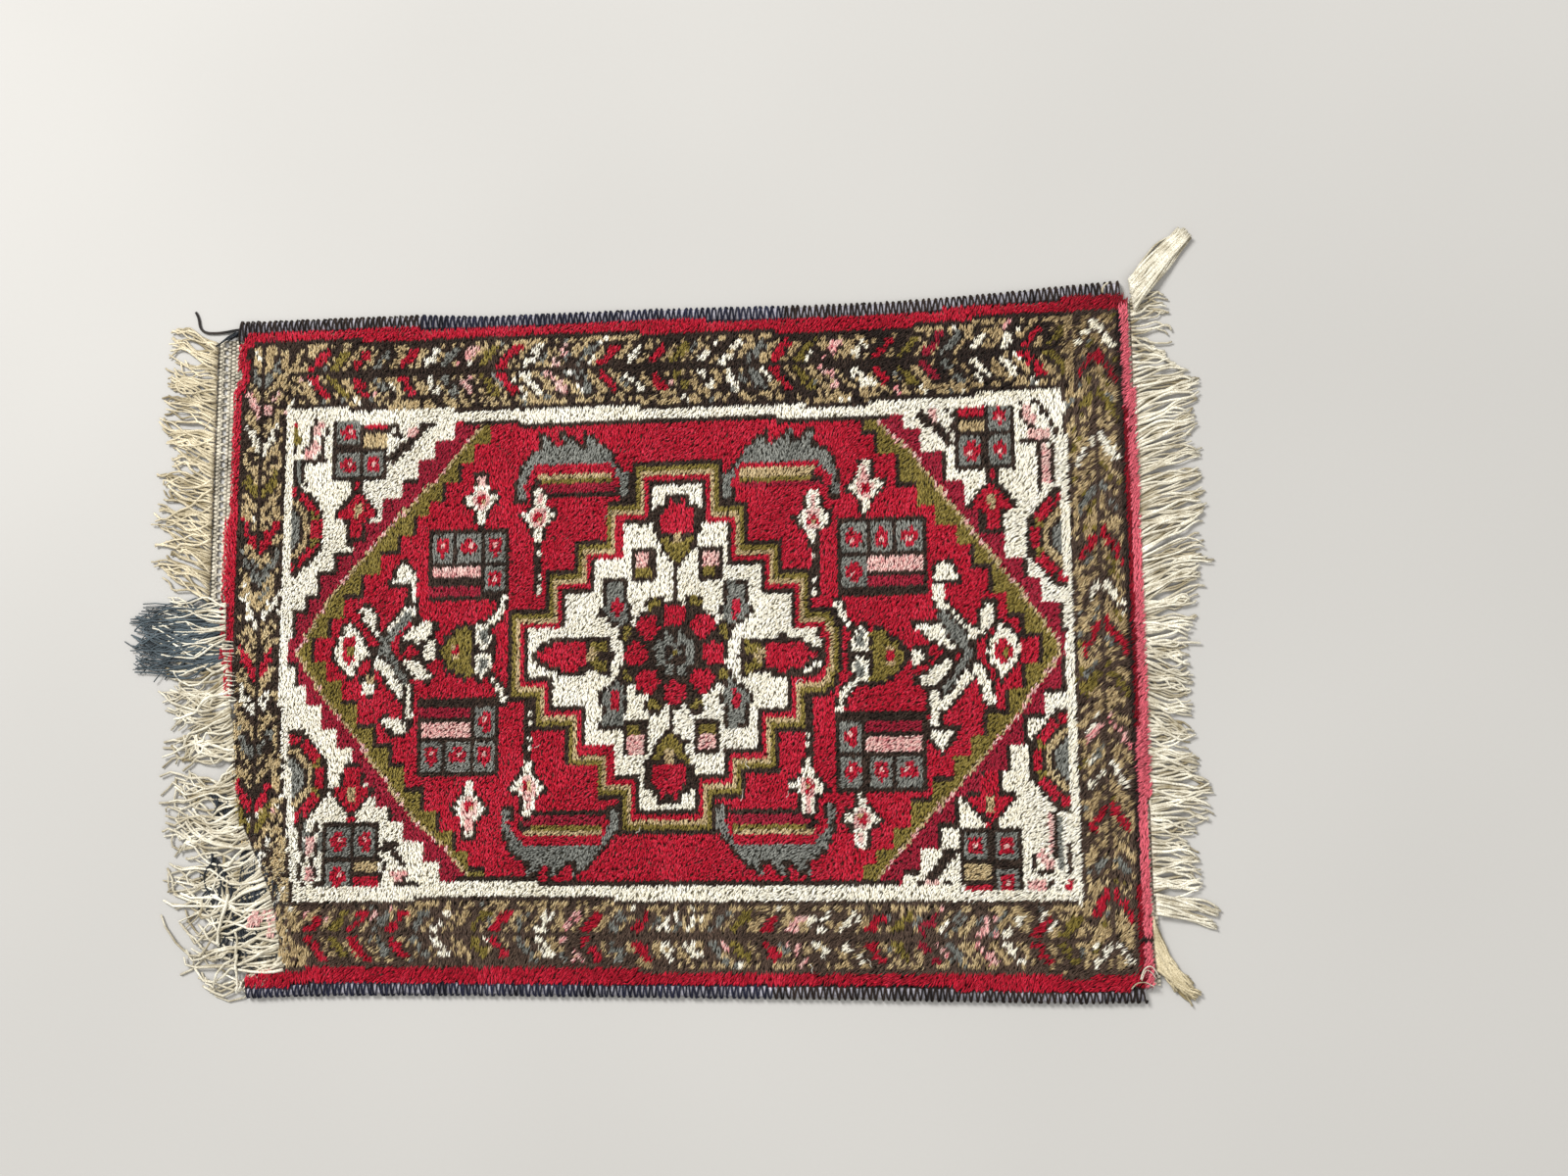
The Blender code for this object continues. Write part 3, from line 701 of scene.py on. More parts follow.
@dataclass
class Spandrels:
    """What lies on the four ivory corners: flower boxes, stars, half rosettes, hooks and scrolls."""

    boxes: Tuple[Place, ...] = (
        (30.4, 26, 1, 1), (182.2, 27.4, -1, 1), (30.4, 111.6, 1, -1), (181, 113, -1, -1)
    )
    stars: Tuple[Place, ...] = (
        (29.6, 39.6, 1, 1), (183.4, 41.6, -1, 1), (30, 98.6, 1, -1), (181.2, 101, -1, -1)
    )
    rosettes: Tuple[Place, ...] = ((10.6, 43, 1, 1), (13, 95, 1, 1), (202, 49, -1, 1), (201, 93, -1, 1))
    strokes: Tuple[Tuple[Yarn, float, Line], ...] = (
        (B, 2.2, (48, 20.5, 44, 24, 38.5, 28.5)),
        (B, 0.9, (37, 22.8, 38.2, 20.8, 40, 22, 38.6, 23.6, 41, 23.8)),
        (B, 1.0, (37.4, 20.2, 48, 20.3)),
        (P, 1.9, (42.6, 22.7, 44, 22.6)),
        (C, 1.7, (12.9, 20.3, 13.6, 21.4)),
        (O, 2.2, (13.2, 22.4, 14.2, 24.3)),
        (B, 1.0, (18.2, 19.7, 17.6, 22.6, 18, 24.2, 15.4, 26.4)),
        (B, 0.9, (21, 20, 21.2, 22.6, 20, 24, 20.6, 25)),
        (P, 1.8, (19.6, 20.5, 19.2, 22)),
        (B, 1.0, (20.3, 25.6, 19.8, 27.6, 21.4, 28.6)),
        (P, 2.0, (18.6, 25.4, 16.8, 27.4)),
        (B, 0.9, (15, 28.8, 19.6, 28.4)),
        (B, 0.9, (13.2, 25.8, 12.8, 28, 13.8, 30.2, 13, 33.2)),
        (S, 1.1, (14.4, 28.8, 14.2, 30.6, 15, 33)),
        (B, 0.9, (15.9, 29.6, 15.4, 31.4, 16.2, 33.6)),
        (B, 2.0, (166, 21, 168, 24, 171, 26, 174, 29.5)),
        (P, 1.7, (170.2, 22.7, 170.4, 24.2)),
        (B, 0.9, (173.4, 22.2, 175.2, 24.4, 174, 27)),
        (C, 1.6, (198.5, 20.4, 198.6, 22)),
        (O, 1.3, (199.4, 24, 199.6, 30, 199.4, 37.6)),
        (B, 1.0, (190.2, 21.2, 193, 20.4, 195, 22.2, 197, 25, 199, 29)),
        (P, 2.2, (191.9, 22.7, 192.8, 24.8)),
        (B, 0.9, (190.4, 23.4, 191.4, 26, 193.8, 26.4)),
        (P, 2.1, (192.9, 28, 196.2, 28)),
        (B, 0.9, (190.8, 29.8, 197, 29.6)),
        (B, 1.0, (194.3, 30.4, 194.3, 39.6)),
        (P, 1.4, (195.8, 30.6, 195.8, 37.8)),
        (B, 0.9, (197.3, 30.6, 197.4, 37.4)),
        (B, 1.4, (37, 109.3, 41, 108.8)),
        (B, 1.5, (40.6, 110.2, 43, 112.8)),
        (B, 1.6, (41.4, 116.2, 46, 116.4)),
        (P, 2.0, (41.2, 114.7, 42.8, 114.7)),
        (B, 0.9, (37, 110.8, 38.4, 113, 37.4, 115.4)),
        (O, 1.4, (15.6, 105.6, 15.8, 111)),
        (T, 1.4, (15.8, 111, 16, 116)),
        (C, 1.5, (16.3, 116.4, 16.6, 117.8)),
        (B, 0.9, (17.6, 104.6, 17.2, 108, 18.4, 111, 17.4, 114, 18.6, 117.6)),
        (S, 1.2, (18.6, 105, 19.4, 107.4, 18.6, 109.4)),
        (B, 0.9, (21.4, 104.6, 20.6, 107, 21.6, 109.6, 20.4, 112, 21.6, 114.8)),
        (P, 1.7, (20, 107.8, 19.6, 110.4)),
        (P, 1.6, (19.8, 113.4, 20.2, 115.4)),
        (S, 1.2, (22.4, 106.4, 22.6, 109)),
        (B, 0.9, (19.4, 117.4, 22.4, 116.6)),
        (B, 2.1, (173, 110.5, 169, 114, 163.5, 118.5)),
        (B, 1.6, (170.4, 117.3, 172, 117.3)),
        (P, 1.9, (167, 116.6, 168.4, 116.6)),
        (B, 0.9, (170, 110.2, 171, 112.4)),
        (B, 1.0, (188, 110, 194, 110)),
        (P, 2.2, (192.4, 111.4, 193.8, 112.8)),
        (B, 0.9, (190.2, 111.6, 191, 114, 193.4, 114.6, 195.6, 114)),
        (P, 2.4, (190.3, 116.7, 191.8, 116.7)),
        (B, 0.9, (188.6, 118.6, 193.4, 118.7, 194.4, 116.2)),
        (P, 1.3, (194.4, 103.4, 194.5, 110.6)),
        (B, 0.9, (195.6, 103.4, 195.8, 112)),
        (S, 1.1, (196.8, 104.4, 196.9, 114)),
        (B, 0.9, (198, 104, 198.1, 114.6)),
        (O, 1.2, (199.1, 104.4, 199.2, 114.8)),
        (C, 1.6, (198.2, 117, 198.4, 119)),
    )

    def box(self, pen: Pen) -> None:
        """Three flower cells, and a red bar over a tan one in the cell nearest the middle of the edge.

        Args:
            pen: Where the motif goes and which way it is turned.
        """
        pen.box(B, -7, -7.2, 7, 7.4)
        flower_cell(pen, -3.3, -3.4, 5.2, 5.6)
        flower_cell(pen, -3.3, 3.6, 5.2, 5.6)
        flower_cell(pen, 3.3, 3.6, 5.2, 5.6)
        pen.box(B, 0.6, -6.6, 6.2, 0)
        pen.box(C, 0.4, -6.2, 6.2, -3.6)
        pen.box(T, 0.4, -2.8, 6.2, -0.4)

    def star(self, pen: Pen) -> None:
        """A red four-pointed flower with a tan eye, on a red stem from the box.

        Args:
            pen: Where the motif goes and which way it is turned.
        """
        pen.line(C, 1.6, 0, -6.2, 0, -2, edge=0.7)
        pen.fill(
            C, 0, -4, 1.8, -2.4, 5, 0.8, 2, 1.4, 1.6, 5.6, -1.6, 5.6, -2, 1.4, -5, 0.8, -1.8, -2.4, edge=0.8
        )
        pen.oval(T, 0, -0.2, 1.1, 1.7)

    def rosette(self, pen: Pen) -> None:
        """Half a rosette cut off by the border: a grey fan in a pale ring with red petals.

        Args:
            pen: Where the motif goes and which way it is turned.
        """
        pen.fill(B, -0.4, -10, 3.4, -10.4, 7.6, -7.2, 10.6, -3.4, 10.9, 3.4, 7.6, 7.2, 3.4, 10.4, -0.4, 10.2)
        pen.fill(C, 0.6, -8.8, 3, -9.4, 5.6, -7.6, 9.6, -3.8, 8.2, -2.8, 4.6, -6.2, 0.8, -7)
        pen.fill(C, 0.6, 9, 3, 9.4, 5.6, 7.6, 9.6, 3.6, 8.2, 2.8, 4.6, 6.2, 0.8, 7)
        pen.fill(C, 7.6, -1.8, 10.1, -2, 10.1, 1.8, 7.6, 1.7)
        pen.line(B, 0.9, 4.4, -9, 3.8, -6.4)
        pen.line(B, 0.9, 4.4, 9, 3.8, 6.4)
        pen.line(T, 1.2, 0.4, -5.6, 3.6, -5, 6, -2.6, 6.4, 0, 6, 2.6, 3.6, 5, 0.4, 5.6)
        pen.fill(S, 0, -4.2, 3, -3.8, 4.8, -1.4, 4.8, 1.4, 3, 3.8, 0, 4.2)
        pen.line(B, 0.9, 0.4, 0, 3.2, 0)
        pen.oval(O, 8.2, -2.9, 0.9, 0.8)
        pen.oval(O, 8.2, 2.9, 0.9, 0.8)

    def draw(self, chart: Chart) -> None:
        """Place every motif on its corner.

        Args:
            chart: The chart to draw on.
        """
        for yarn, width, line in self.strokes:
            Pen(chart).line(yarn, width, *line)
        repeat(chart, self.star, *self.stars)
        repeat(chart, self.box, *self.boxes)
        repeat(chart, self.rosette, *self.rosettes)


@dataclass
class Frame:
    """The main border on four sides and the ivory guard inside it."""

    top_line: Line = (
        12, 16.2, 22, 16.4, 30, 17.4, 32, 18, 54, 18, 70, 18.8, 100, 19, 120, 19.4, 140, 20, 150, 20.2,
        165, 19.6, 180, 19, 201, 18
    )
    bottom_line: Line = (
        15, 120.4, 45, 120.2, 50, 119.4, 70, 119.2, 100, 120.2, 150, 120.2, 180, 120.8, 201, 121
    )
    left_line: Line = (16, 11, 60, 10.4, 80, 11, 92, 12.2, 119, 15.4)
    right_line: Line = (16, 200.6, 60, 202, 90, 201.6, 121, 201)

    def draw(self, chart: Chart, draws: np.random.Generator) -> None:
        """Fill outside the inner lines with leaves, one border after another.

        Args:
            chart: The chart to draw on.
            draws: Random numbers.
        """
        k, r = chart.k, chart.r
        top, bottom = follow(self.top_line, k), follow(self.bottom_line, k)
        left, right = follow(self.left_line, r), follow(self.right_line, r)
        guard = (r > top) & (r < bottom) & (k > left) & (k < right)
        chart.paint(I, guard & ((r < top + 3) | (r > bottom - 3.2) | (k < left + 2.2) | (k > right - 2.4)))
        middle = guard & (k > 56) & (k < 160)
        chart.paint(B, middle & ((abs(r - top - 3.2) < 0.5) | (abs(r - bottom + 3.4) < 0.5)))
        areas = {
            "left": (k < left) | ((k < 11) & (r < 20)) | ((k < 15.5) & (r > 119)),
            "right": k > np.minimum(right, 200.6),
            "top": (r < top) & (k > 11) & (k < 201),
            "bottom": (r > bottom) & (k > 15) & (k < 201),
        }
        leaf_sets = self.leaf_sets()
        for name, area in areas.items():
            leaf_sets[name].draw(chart, area, draws)
        chart.paint(B, ((abs(r - top) < 0.5) | (abs(r - bottom) < 0.5)) & (k > 12) & (k < 200))
        sides = ((abs(k - left) < 0.5) | (abs(k - right) < 0.5)) & (r > top) & (r < bottom)
        chart.paint(B, sides & (draws.random(k.shape) < 0.8))

    def leaf_sets(self) -> Dict[str, LeafBorder]:
        """The leaves of each side, by where each starts along its border.

        Returns:
            A border for each side's name.
        """
        top = (
            (15.5, C), (20.5, O), (26, C), (31.5, S), (38, C), (44, I), (48.5, S), (53, P), (58.5, O),
            (63.5, C), (69.5, I), (76, P), (82.5, S), (88.5, C), (94.5, I), (100.5, C), (106, O), (112.5, I),
            (118.5, I), (124.5, S), (130.5, C), (136, O), (142.5, P), (149, I), (154.5, C), (160.5, O),
            (166.5, W), (171, S), (177.5, I), (184.5, I), (190, C), (196, O)
        )
        bottom = (
            (18.5, C), (24, O), (29, C), (34.5, S), (38.5, C), (44, S), (49, I), (54, T), (58.5, O), (63.5, C),
            (69, S), (74, I), (80, P), (85, C), (91, S), (97, C), (103, I), (109, I), (114.5, S), (120, O),
            (127, C), (133, P), (139, I), (145, I), (151, C), (157, O), (163, W), (169, S), (176, P), (182, I),
            (188.5, C), (194.5, O)
        )
        left = (
            (10.5, S), (17, P), (24.5, I), (31, T), (35, O), (45.5, C), (52.5, S), (61.5, I), (66, T),
            (72.5, C), (80, I), (85, T), (89, S), (95, T), (100, C), (105, O), (112, I)
        )
        right = (
            (4.3, I), (10.3, C), (18.3, O), (27.3, I), (37.3, S), (46.8, C), (56.3, I), (64.8, C), (73.3, O),
            (83.3, P), (92.3, I), (100.3, C), (109.3, S), (116.8, C), (126.3, I)
        )
        return {
            "top": LeafBorder(
                top, (11, 9.2, 25, 10, 60, 10, 75, 10.7, 110, 11, 150, 12, 165, 12, 180, 11, 198, 10.6), 0.9,
                1.3, 5.4, flecks=((T, 0.66), (B, 0.27), (I, 0.03), (S, 0.03), (P, 0.01))
            ),
            "bottom": LeafBorder(
                bottom, (15, 126.8, 60, 126.4, 100, 127, 150, 127, 198, 127.6), 0.9, 1.3, 4.9,
                flecks=((T, 0.6), (B, 0.33), (S, 0.04), (I, 0.02), (P, 0.01))
            ),
            "left": LeafBorder(
                left, (0, 4.6, 137, 5.6), -1.2, 0.9, 4.6, upright=True, leaf=3.0,
                flecks=((T, 0.84), (B, 0.12), (I, 0.02), (S, 0.01), (P, 0.01))
            ),
            "right": LeafBorder(
                right, (0, 208, 137, 207.6), 1.2, 0.9, 4.8, upright=True,
                flecks=((T, 0.7), (B, 0.2), (O, 0.06), (S, 0.03), (I, 0.01))
            ),
        }


def design() -> Chart:
    """The whole design, drawn from the field outwards.

    Returns:
        The chart, with one code for each knot and 0 where there is none.
    """
    draws = np.random.default_rng(11)
    chart = Chart()
    chart.knots[:] = CODE[C]
    Hexagon().draw(chart, draws)
    FieldDesign().draw(chart)
    Medallion().draw(chart)
    Spandrels().draw(chart)
    Frame().draw(chart, draws)
    Edges().draw(chart)
    return chart


def srgb(text: str) -> Tuple[float, float, float, float]:
    """Linear colour of a hex code: each channel goes through the sRGB curve."""
    channels = [int(text[i : i + 2], 16) / 255 for i in (1, 3, 5)]
    return (*[c / 12.92 if c <= 0.04045 else ((c + 0.055) / 1.055) ** 2.4 for c in channels], 1.0)


class Shader:
    """One procedural material and the nodes in it."""

    def __init__(self, name: str) -> None:
        """Start a material with an empty node tree and a principled surface.

        Args:
            name: The real material and how it is made.
        """
        self.material = bpy.data.materials.new(name)
        self.material.use_nodes = True
        self.tree = self.material.node_tree
        self.tree.nodes.clear()
        self.surface = self.add("ShaderNodeBsdfPrincipled")
        output = self.add("ShaderNodeOutputMaterial", {}, {0: self.surface.outputs[0]})
        output.is_active_output = True
        self.where = self.add("ShaderNodeTexCoord").outputs["Object"]

    def add(self, kind: str, settings: Optional[dict] = None, inputs: Optional[dict] = None) -> bpy.types.Node:
        """Add a node, set its options, and fill its inputs with values or with links from other sockets.

        Args:
            kind: The node's type.
            settings: Its options, by name.
            inputs: Values or other nodes' sockets, by input.

        Returns:
            The node.
        """
        node = self.tree.nodes.new(kind)
        for key, value in (settings or {}).items():
            setattr(node, key, value)
        for key, value in (inputs or {}).items():
            if isinstance(value, bpy.types.NodeSocket):
                self.tree.links.new(value, node.inputs[key])
            else:
                node.inputs[key].default_value = value
        return node

    def attribute(self, name: str, output: str = "Fac") -> bpy.types.NodeSocket:
        """One of the mesh's own attributes."""
        return self.add("ShaderNodeAttribute", {"attribute_name": name}).outputs[output]

    def math(self, operation: str, *values: object) -> bpy.types.NodeSocket:
        """One sum on values or other sockets."""
        return self.add("ShaderNodeMath", {"operation": operation}, dict(enumerate(values))).outputs[0]

    def mix(self, factor: object, a: object, b: object) -> bpy.types.NodeSocket:
        """Blend two colours."""
        return self.add("ShaderNodeMix", {"data_type": "RGBA"}, {0: factor, 6: a, 7: b}).outputs[2]

    def noise(
        self, across: float, detail: float = 2.0, stretch: Tuple[float, float, float] = (1, 1, 1)
    ) -> bpy.types.NodeSocket:
        """Noise whose blobs are about that many millimetres across, stretched by the given shares.

        Args:
            across: Size of a blob in millimetres.
            detail: How many finer layers are added.
            stretch: How many times longer a blob is each way.

        Returns:
            A value from 0 to 1.
        """
        scale = tuple(1000.0 / across / share for share in stretch)
        vector = self.add("ShaderNodeMapping", {}, {0: self.where, 3: scale}).outputs[0]
        return self.add(
            "ShaderNodeTexNoise", {}, {"Vector": vector, "Scale": 1.0, "Detail": detail}
        ).outputs["Fac"]

    def level(
        self, value: object, low: float, high: float, to_low: float = 0.0, to_high: float = 1.0
    ) -> bpy.types.NodeSocket:
        """Stretch a range of values onto another, held at its ends."""
        return self.add("ShaderNodeMapRange", {}, {0: value, 1: low, 2: high, 3: to_low, 4: to_high}).outputs[0]

    def finish(
        self, colour: object, rough: object, height: object, relief: float, sheen: float
    ) -> bpy.types.Material:
        """Join colour, roughness and bump to the surface, with a soft wool sheen.

        Args:
            colour: The colour's socket.
            rough: The roughness's socket.
            height: The relief's socket.
            relief: Depth of the relief in metres.
            sheen: Strength of the soft light along its edges.

        Returns:
            The finished material.
        """
        bump = self.add("ShaderNodeBump", {}, {"Strength": 0.6, "Distance": relief, "Height": height})
        for key, value in (("Base Color", colour), ("Roughness", rough), ("Normal", bump.outputs[0])):
            self.tree.links.new(value, self.surface.inputs[key])
        self.surface.inputs["Sheen Weight"].default_value = sheen
        self.surface.inputs["Sheen Roughness"].default_value = 0.55
        self.surface.inputs["Specular IOR Level"].default_value = 0.12
        return self.material


@dataclass(frozen=True)
class Dye:
    """One dyed yarn: its deep, middle and sun-faded tones, and the painted shade at its roots."""

    deep: str
    middle: str
    faded: str
    root: str


# The last tone of each dye is painted shade, for the shade between the strands at their roots
DYES: Dict[Yarn, Dye] = {
    Yarn.CRIMSON: Dye("#80061A", "#BC142E", "#D63E56", "#4A0812"),
    Yarn.PINK: Dye("#DC6674", "#E6BCB2", "#F2DED4", "#B05862"),
    Yarn.WINE: Dye("#781024", "#9E1A32", "#B4384C", "#36080F"),
    Yarn.IVORY: Dye("#EEE5CA", "#FBF6E6", "#FFFDF6", "#C2B793"),
    Yarn.TAN: Dye("#7A6442", "#C2AA7E", "#E2D1A8", "#5A482C"),
    Yarn.OLIVE: Dye("#54491C", "#847434", "#A49454", "#332B10"),
    Yarn.SLATE: Dye("#4E4F4A", "#7F8079", "#A9A9A0", "#30302C"),
    Yarn.BROWN: Dye("#1A1210", "#33261F", "#5A483C", "#0E0A08"),
}


def pile_wool(yarn: Yarn) -> bpy.types.Material:
    """Hand-spun wool cut in a pile, which shows painted shade darkening it towards its roots, pale fibre tips
    and streaks of uneven dye.

    Args:
        yarn: The yarn that the pile is cut from.

    Returns:
        The material.
    """
    dye = DYES[yarn]
    shader = Shader(f"hand_spun_{yarn.value}")
    band = shader.level(shader.noise(38, 3, (1, 3.2, 1)), 0.3, 0.7, 0.0, 0.22)
    patch = shader.level(shader.noise(9, 2), 0.3, 0.72)
    light = shader.math(
        "MULTIPLY_ADD", patch, 0.18, shader.math("MULTIPLY_ADD", shader.attribute("tone"), 0.6, band)
    )
    ramp = shader.add("ShaderNodeValToRGB", {}, {0: light})
    ramp.color_ramp.elements[0].color = srgb(dye.deep)
    ramp.color_ramp.elements[1].color = srgb(dye.faded)
    ramp.color_ramp.elements.new(0.5).color = srgb(dye.middle)
    height = shader.add("ShaderNodeSeparateXYZ", {}, {0: shader.where}).outputs[2]
    # Painted shade: from 7.2 mm down to the ground at 3.2 mm the colour darkens into the root tone, for the
    # shade between the strands
    root = shader.level(height, 0.0032, 0.0072, 1.0, 0.0)
    colour = shader.mix(root, ramp.outputs[0], srgb(dye.root))
    fibres = shader.noise(0.35, 2, (1, 1, 4))
    return shader.finish(colour, shader.level(fibres, 0.2, 0.8, 0.7, 0.98), fibres, 0.0004, 0.03)


def twisted_yarn(
    name: str, deep: str, pale: str, across: float = 1.1, sheen: float = 0.1
) -> bpy.types.Material:
    """Plied yarn, which shows slanting plies with painted shade in the grooves between them, a soil tint in
    patches and hairs that scatter the light.

    Args:
        name: Its name.
        deep: Colour of its shaded and soiled parts.
        pale: Colour of its clean parts.
        across: Thickness of a ply in millimetres.
        sheen: Strength of the soft light along its edges.

    Returns:
        The material.
    """
    shader = Shader(name)
    clean = shader.level(shader.noise(16, 3), 0.35, 0.7)
    light = shader.math("MULTIPLY_ADD", clean, 0.5, shader.level(shader.attribute("tone"), 0, 1, 0.0, 0.5))
    colour = shader.mix(light, srgb(deep), srgb(pale))
    plies = shader.noise(across, 3, (1, 1.6, 1))
    # Painted shade: the yarn darkens towards its deep colour where the plies dip
    shade = shader.mix(shader.level(plies, 0.35, 0.6, 0.6, 0.0), colour, srgb(deep))
    return shader.finish(shade, shader.level(plies, 0.2, 0.8, 0.7, 0.95), plies, 0.0005, sheen)


def knotted_back(name: str) -> bpy.types.Material:
    """The knots' backs and the wefts between them, which show the design again in small ribbed nodes.

    Args:
        name: Its name.

    Returns:
        The material.
    """
    shader = Shader(name)
    ribs = []
    for way, pitch in (("X", COLUMN), ("Y", ROW / 2)):
        inputs = {"Vector": shader.where, "Scale": math.pi / 10 / pitch, "Distortion": 0.4}
        ribs.append(shader.add("ShaderNodeTexWave", {"bands_direction": way}, inputs).outputs["Fac"])
    height = shader.math("MULTIPLY", *ribs)
    wefts = shader.level(height, 0.05, 0.5, 0.75, 0.0)
    colour = shader.mix(wefts, shader.attribute("wool", "Color"), srgb("#6F6858"))
    return shader.finish(colour, shader.level(shader.noise(1.2), 0.2, 0.8, 0.8, 0.97), height, 0.0008, 0.05)


@dataclass
class Shape:
    """A mesh before it is a piece: its points, its faces in blocks of equal size, and a tone for each point."""

    points: np.ndarray
    faces: List[np.ndarray]
    tone: np.ndarray
    colours: Optional[np.ndarray] = None

    def publish(
        self, name: str, material: bpy.types.Material, slot: str, nodes: Sequence[str] = (), smooth: bool = True
    ) -> bpy.types.Object:
        """Make the object, its bake map and attributes, and tie it to the frame.

        Args:
            name: The piece's name.
            material: Its finish.
            slot: The record's slot for that finish; not used.
            nodes: The frame's solids that it stands for.
            smooth: Shade it smooth.

        Returns:
            The object.
        """
        corners = np.concatenate([block.ravel() for block in self.faces]).astype(np.int32)
        sizes = np.concatenate([np.full(len(block), block.shape[1]) for block in self.faces])
        mesh = bpy.data.meshes.new(name)
        mesh.vertices.add(len(self.points))
        mesh.vertices.foreach_set("co", self.points.astype(np.float32).ravel())
        mesh.loops.add(len(corners))
        mesh.loops.foreach_set("vertex_index", corners)
        mesh.polygons.add(len(sizes))
        mesh.polygons.foreach_set("loop_start", (np.cumsum(sizes) - sizes).astype(np.int32))
        mesh.polygons.foreach_set("use_smooth", np.full(len(sizes), smooth))
        mesh.update(calc_edges=True)
        # The bake map is the plan, slid by height so that upright faces take up some of it too
        flat = self.points[:, :2] + self.points[:, 2:] * (0.37, 0.61)
        low, high = flat.min(0), flat.max(0)
        spread = (flat - low) / (high - low) * 0.996 + 0.002
        mesh.uv_layers.new(name="OFBake").data.foreach_set("uv", spread[corners].astype(np.float32).ravel())
        mesh.attributes.new("tone", "FLOAT", "POINT").data.foreach_set("value", self.tone.astype(np.float32))
        if self.colours is not None:
            layer = mesh.attributes.new("wool", "FLOAT_COLOR", "CORNER")
            layer.data.foreach_set("color", np.repeat(self.colours, sizes, axis=0).astype(np.float32).ravel())
        mesh.materials.append(material)
        piece = bpy.data.objects.new(name, mesh)
        bpy.context.scene.collection.objects.link(piece)
        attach(piece, "root")
        if nodes:
            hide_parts(*nodes)
        log.info("%s: %d triangles", name, int((sizes - 2).sum()))
        return piece


def tubes(paths: np.ndarray, radii: np.ndarray, tone: np.ndarray, sides: int = 4) -> Shape:
    """Closed round strands along many paths at once.

    Each ring lies square to its path: its first axis is level, and its second completes the cross.

    Args:
        paths: Strands x points x 3, in metres.
        radii: Strands x points, in metres.
        tone: One tone for each strand.
        sides: Faces round each strand.

    Returns:
        The strands as one shape.
    """
    count, steps, _ = paths.shape
    tangent = np.gradient(paths, axis=1)
    tangent /= np.linalg.norm(tangent, axis=2, keepdims=True) + 1e-12
    level = np.stack([-tangent[..., 1], tangent[..., 0], np.zeros(tangent.shape[:2])], 2)
    level /= np.linalg.norm(level, axis=2, keepdims=True) + 1e-9
    other = np.cross(tangent, level)
    angle = 2 * np.pi * np.arange(sides) / sides
    ring = level[:, :, None] * np.cos(angle)[:, None] + other[:, :, None] * np.sin(angle)[:, None]
    points = paths[:, :, None] + ring * radii[:, :, None, None]
    index = np.arange(count * steps * sides).reshape(count, steps, sides)
    turned = np.roll(index, -1, axis=2)
    walls = np.stack([index[:, :-1], turned[:, :-1], turned[:, 1:], index[:, 1:]], -1).reshape(-1, 4)
    ends = np.concatenate([index[:, 0, ::-1], index[:, -1]])
    return Shape(points.reshape(-1, 3), [walls, ends], np.repeat(tone, steps * sides))


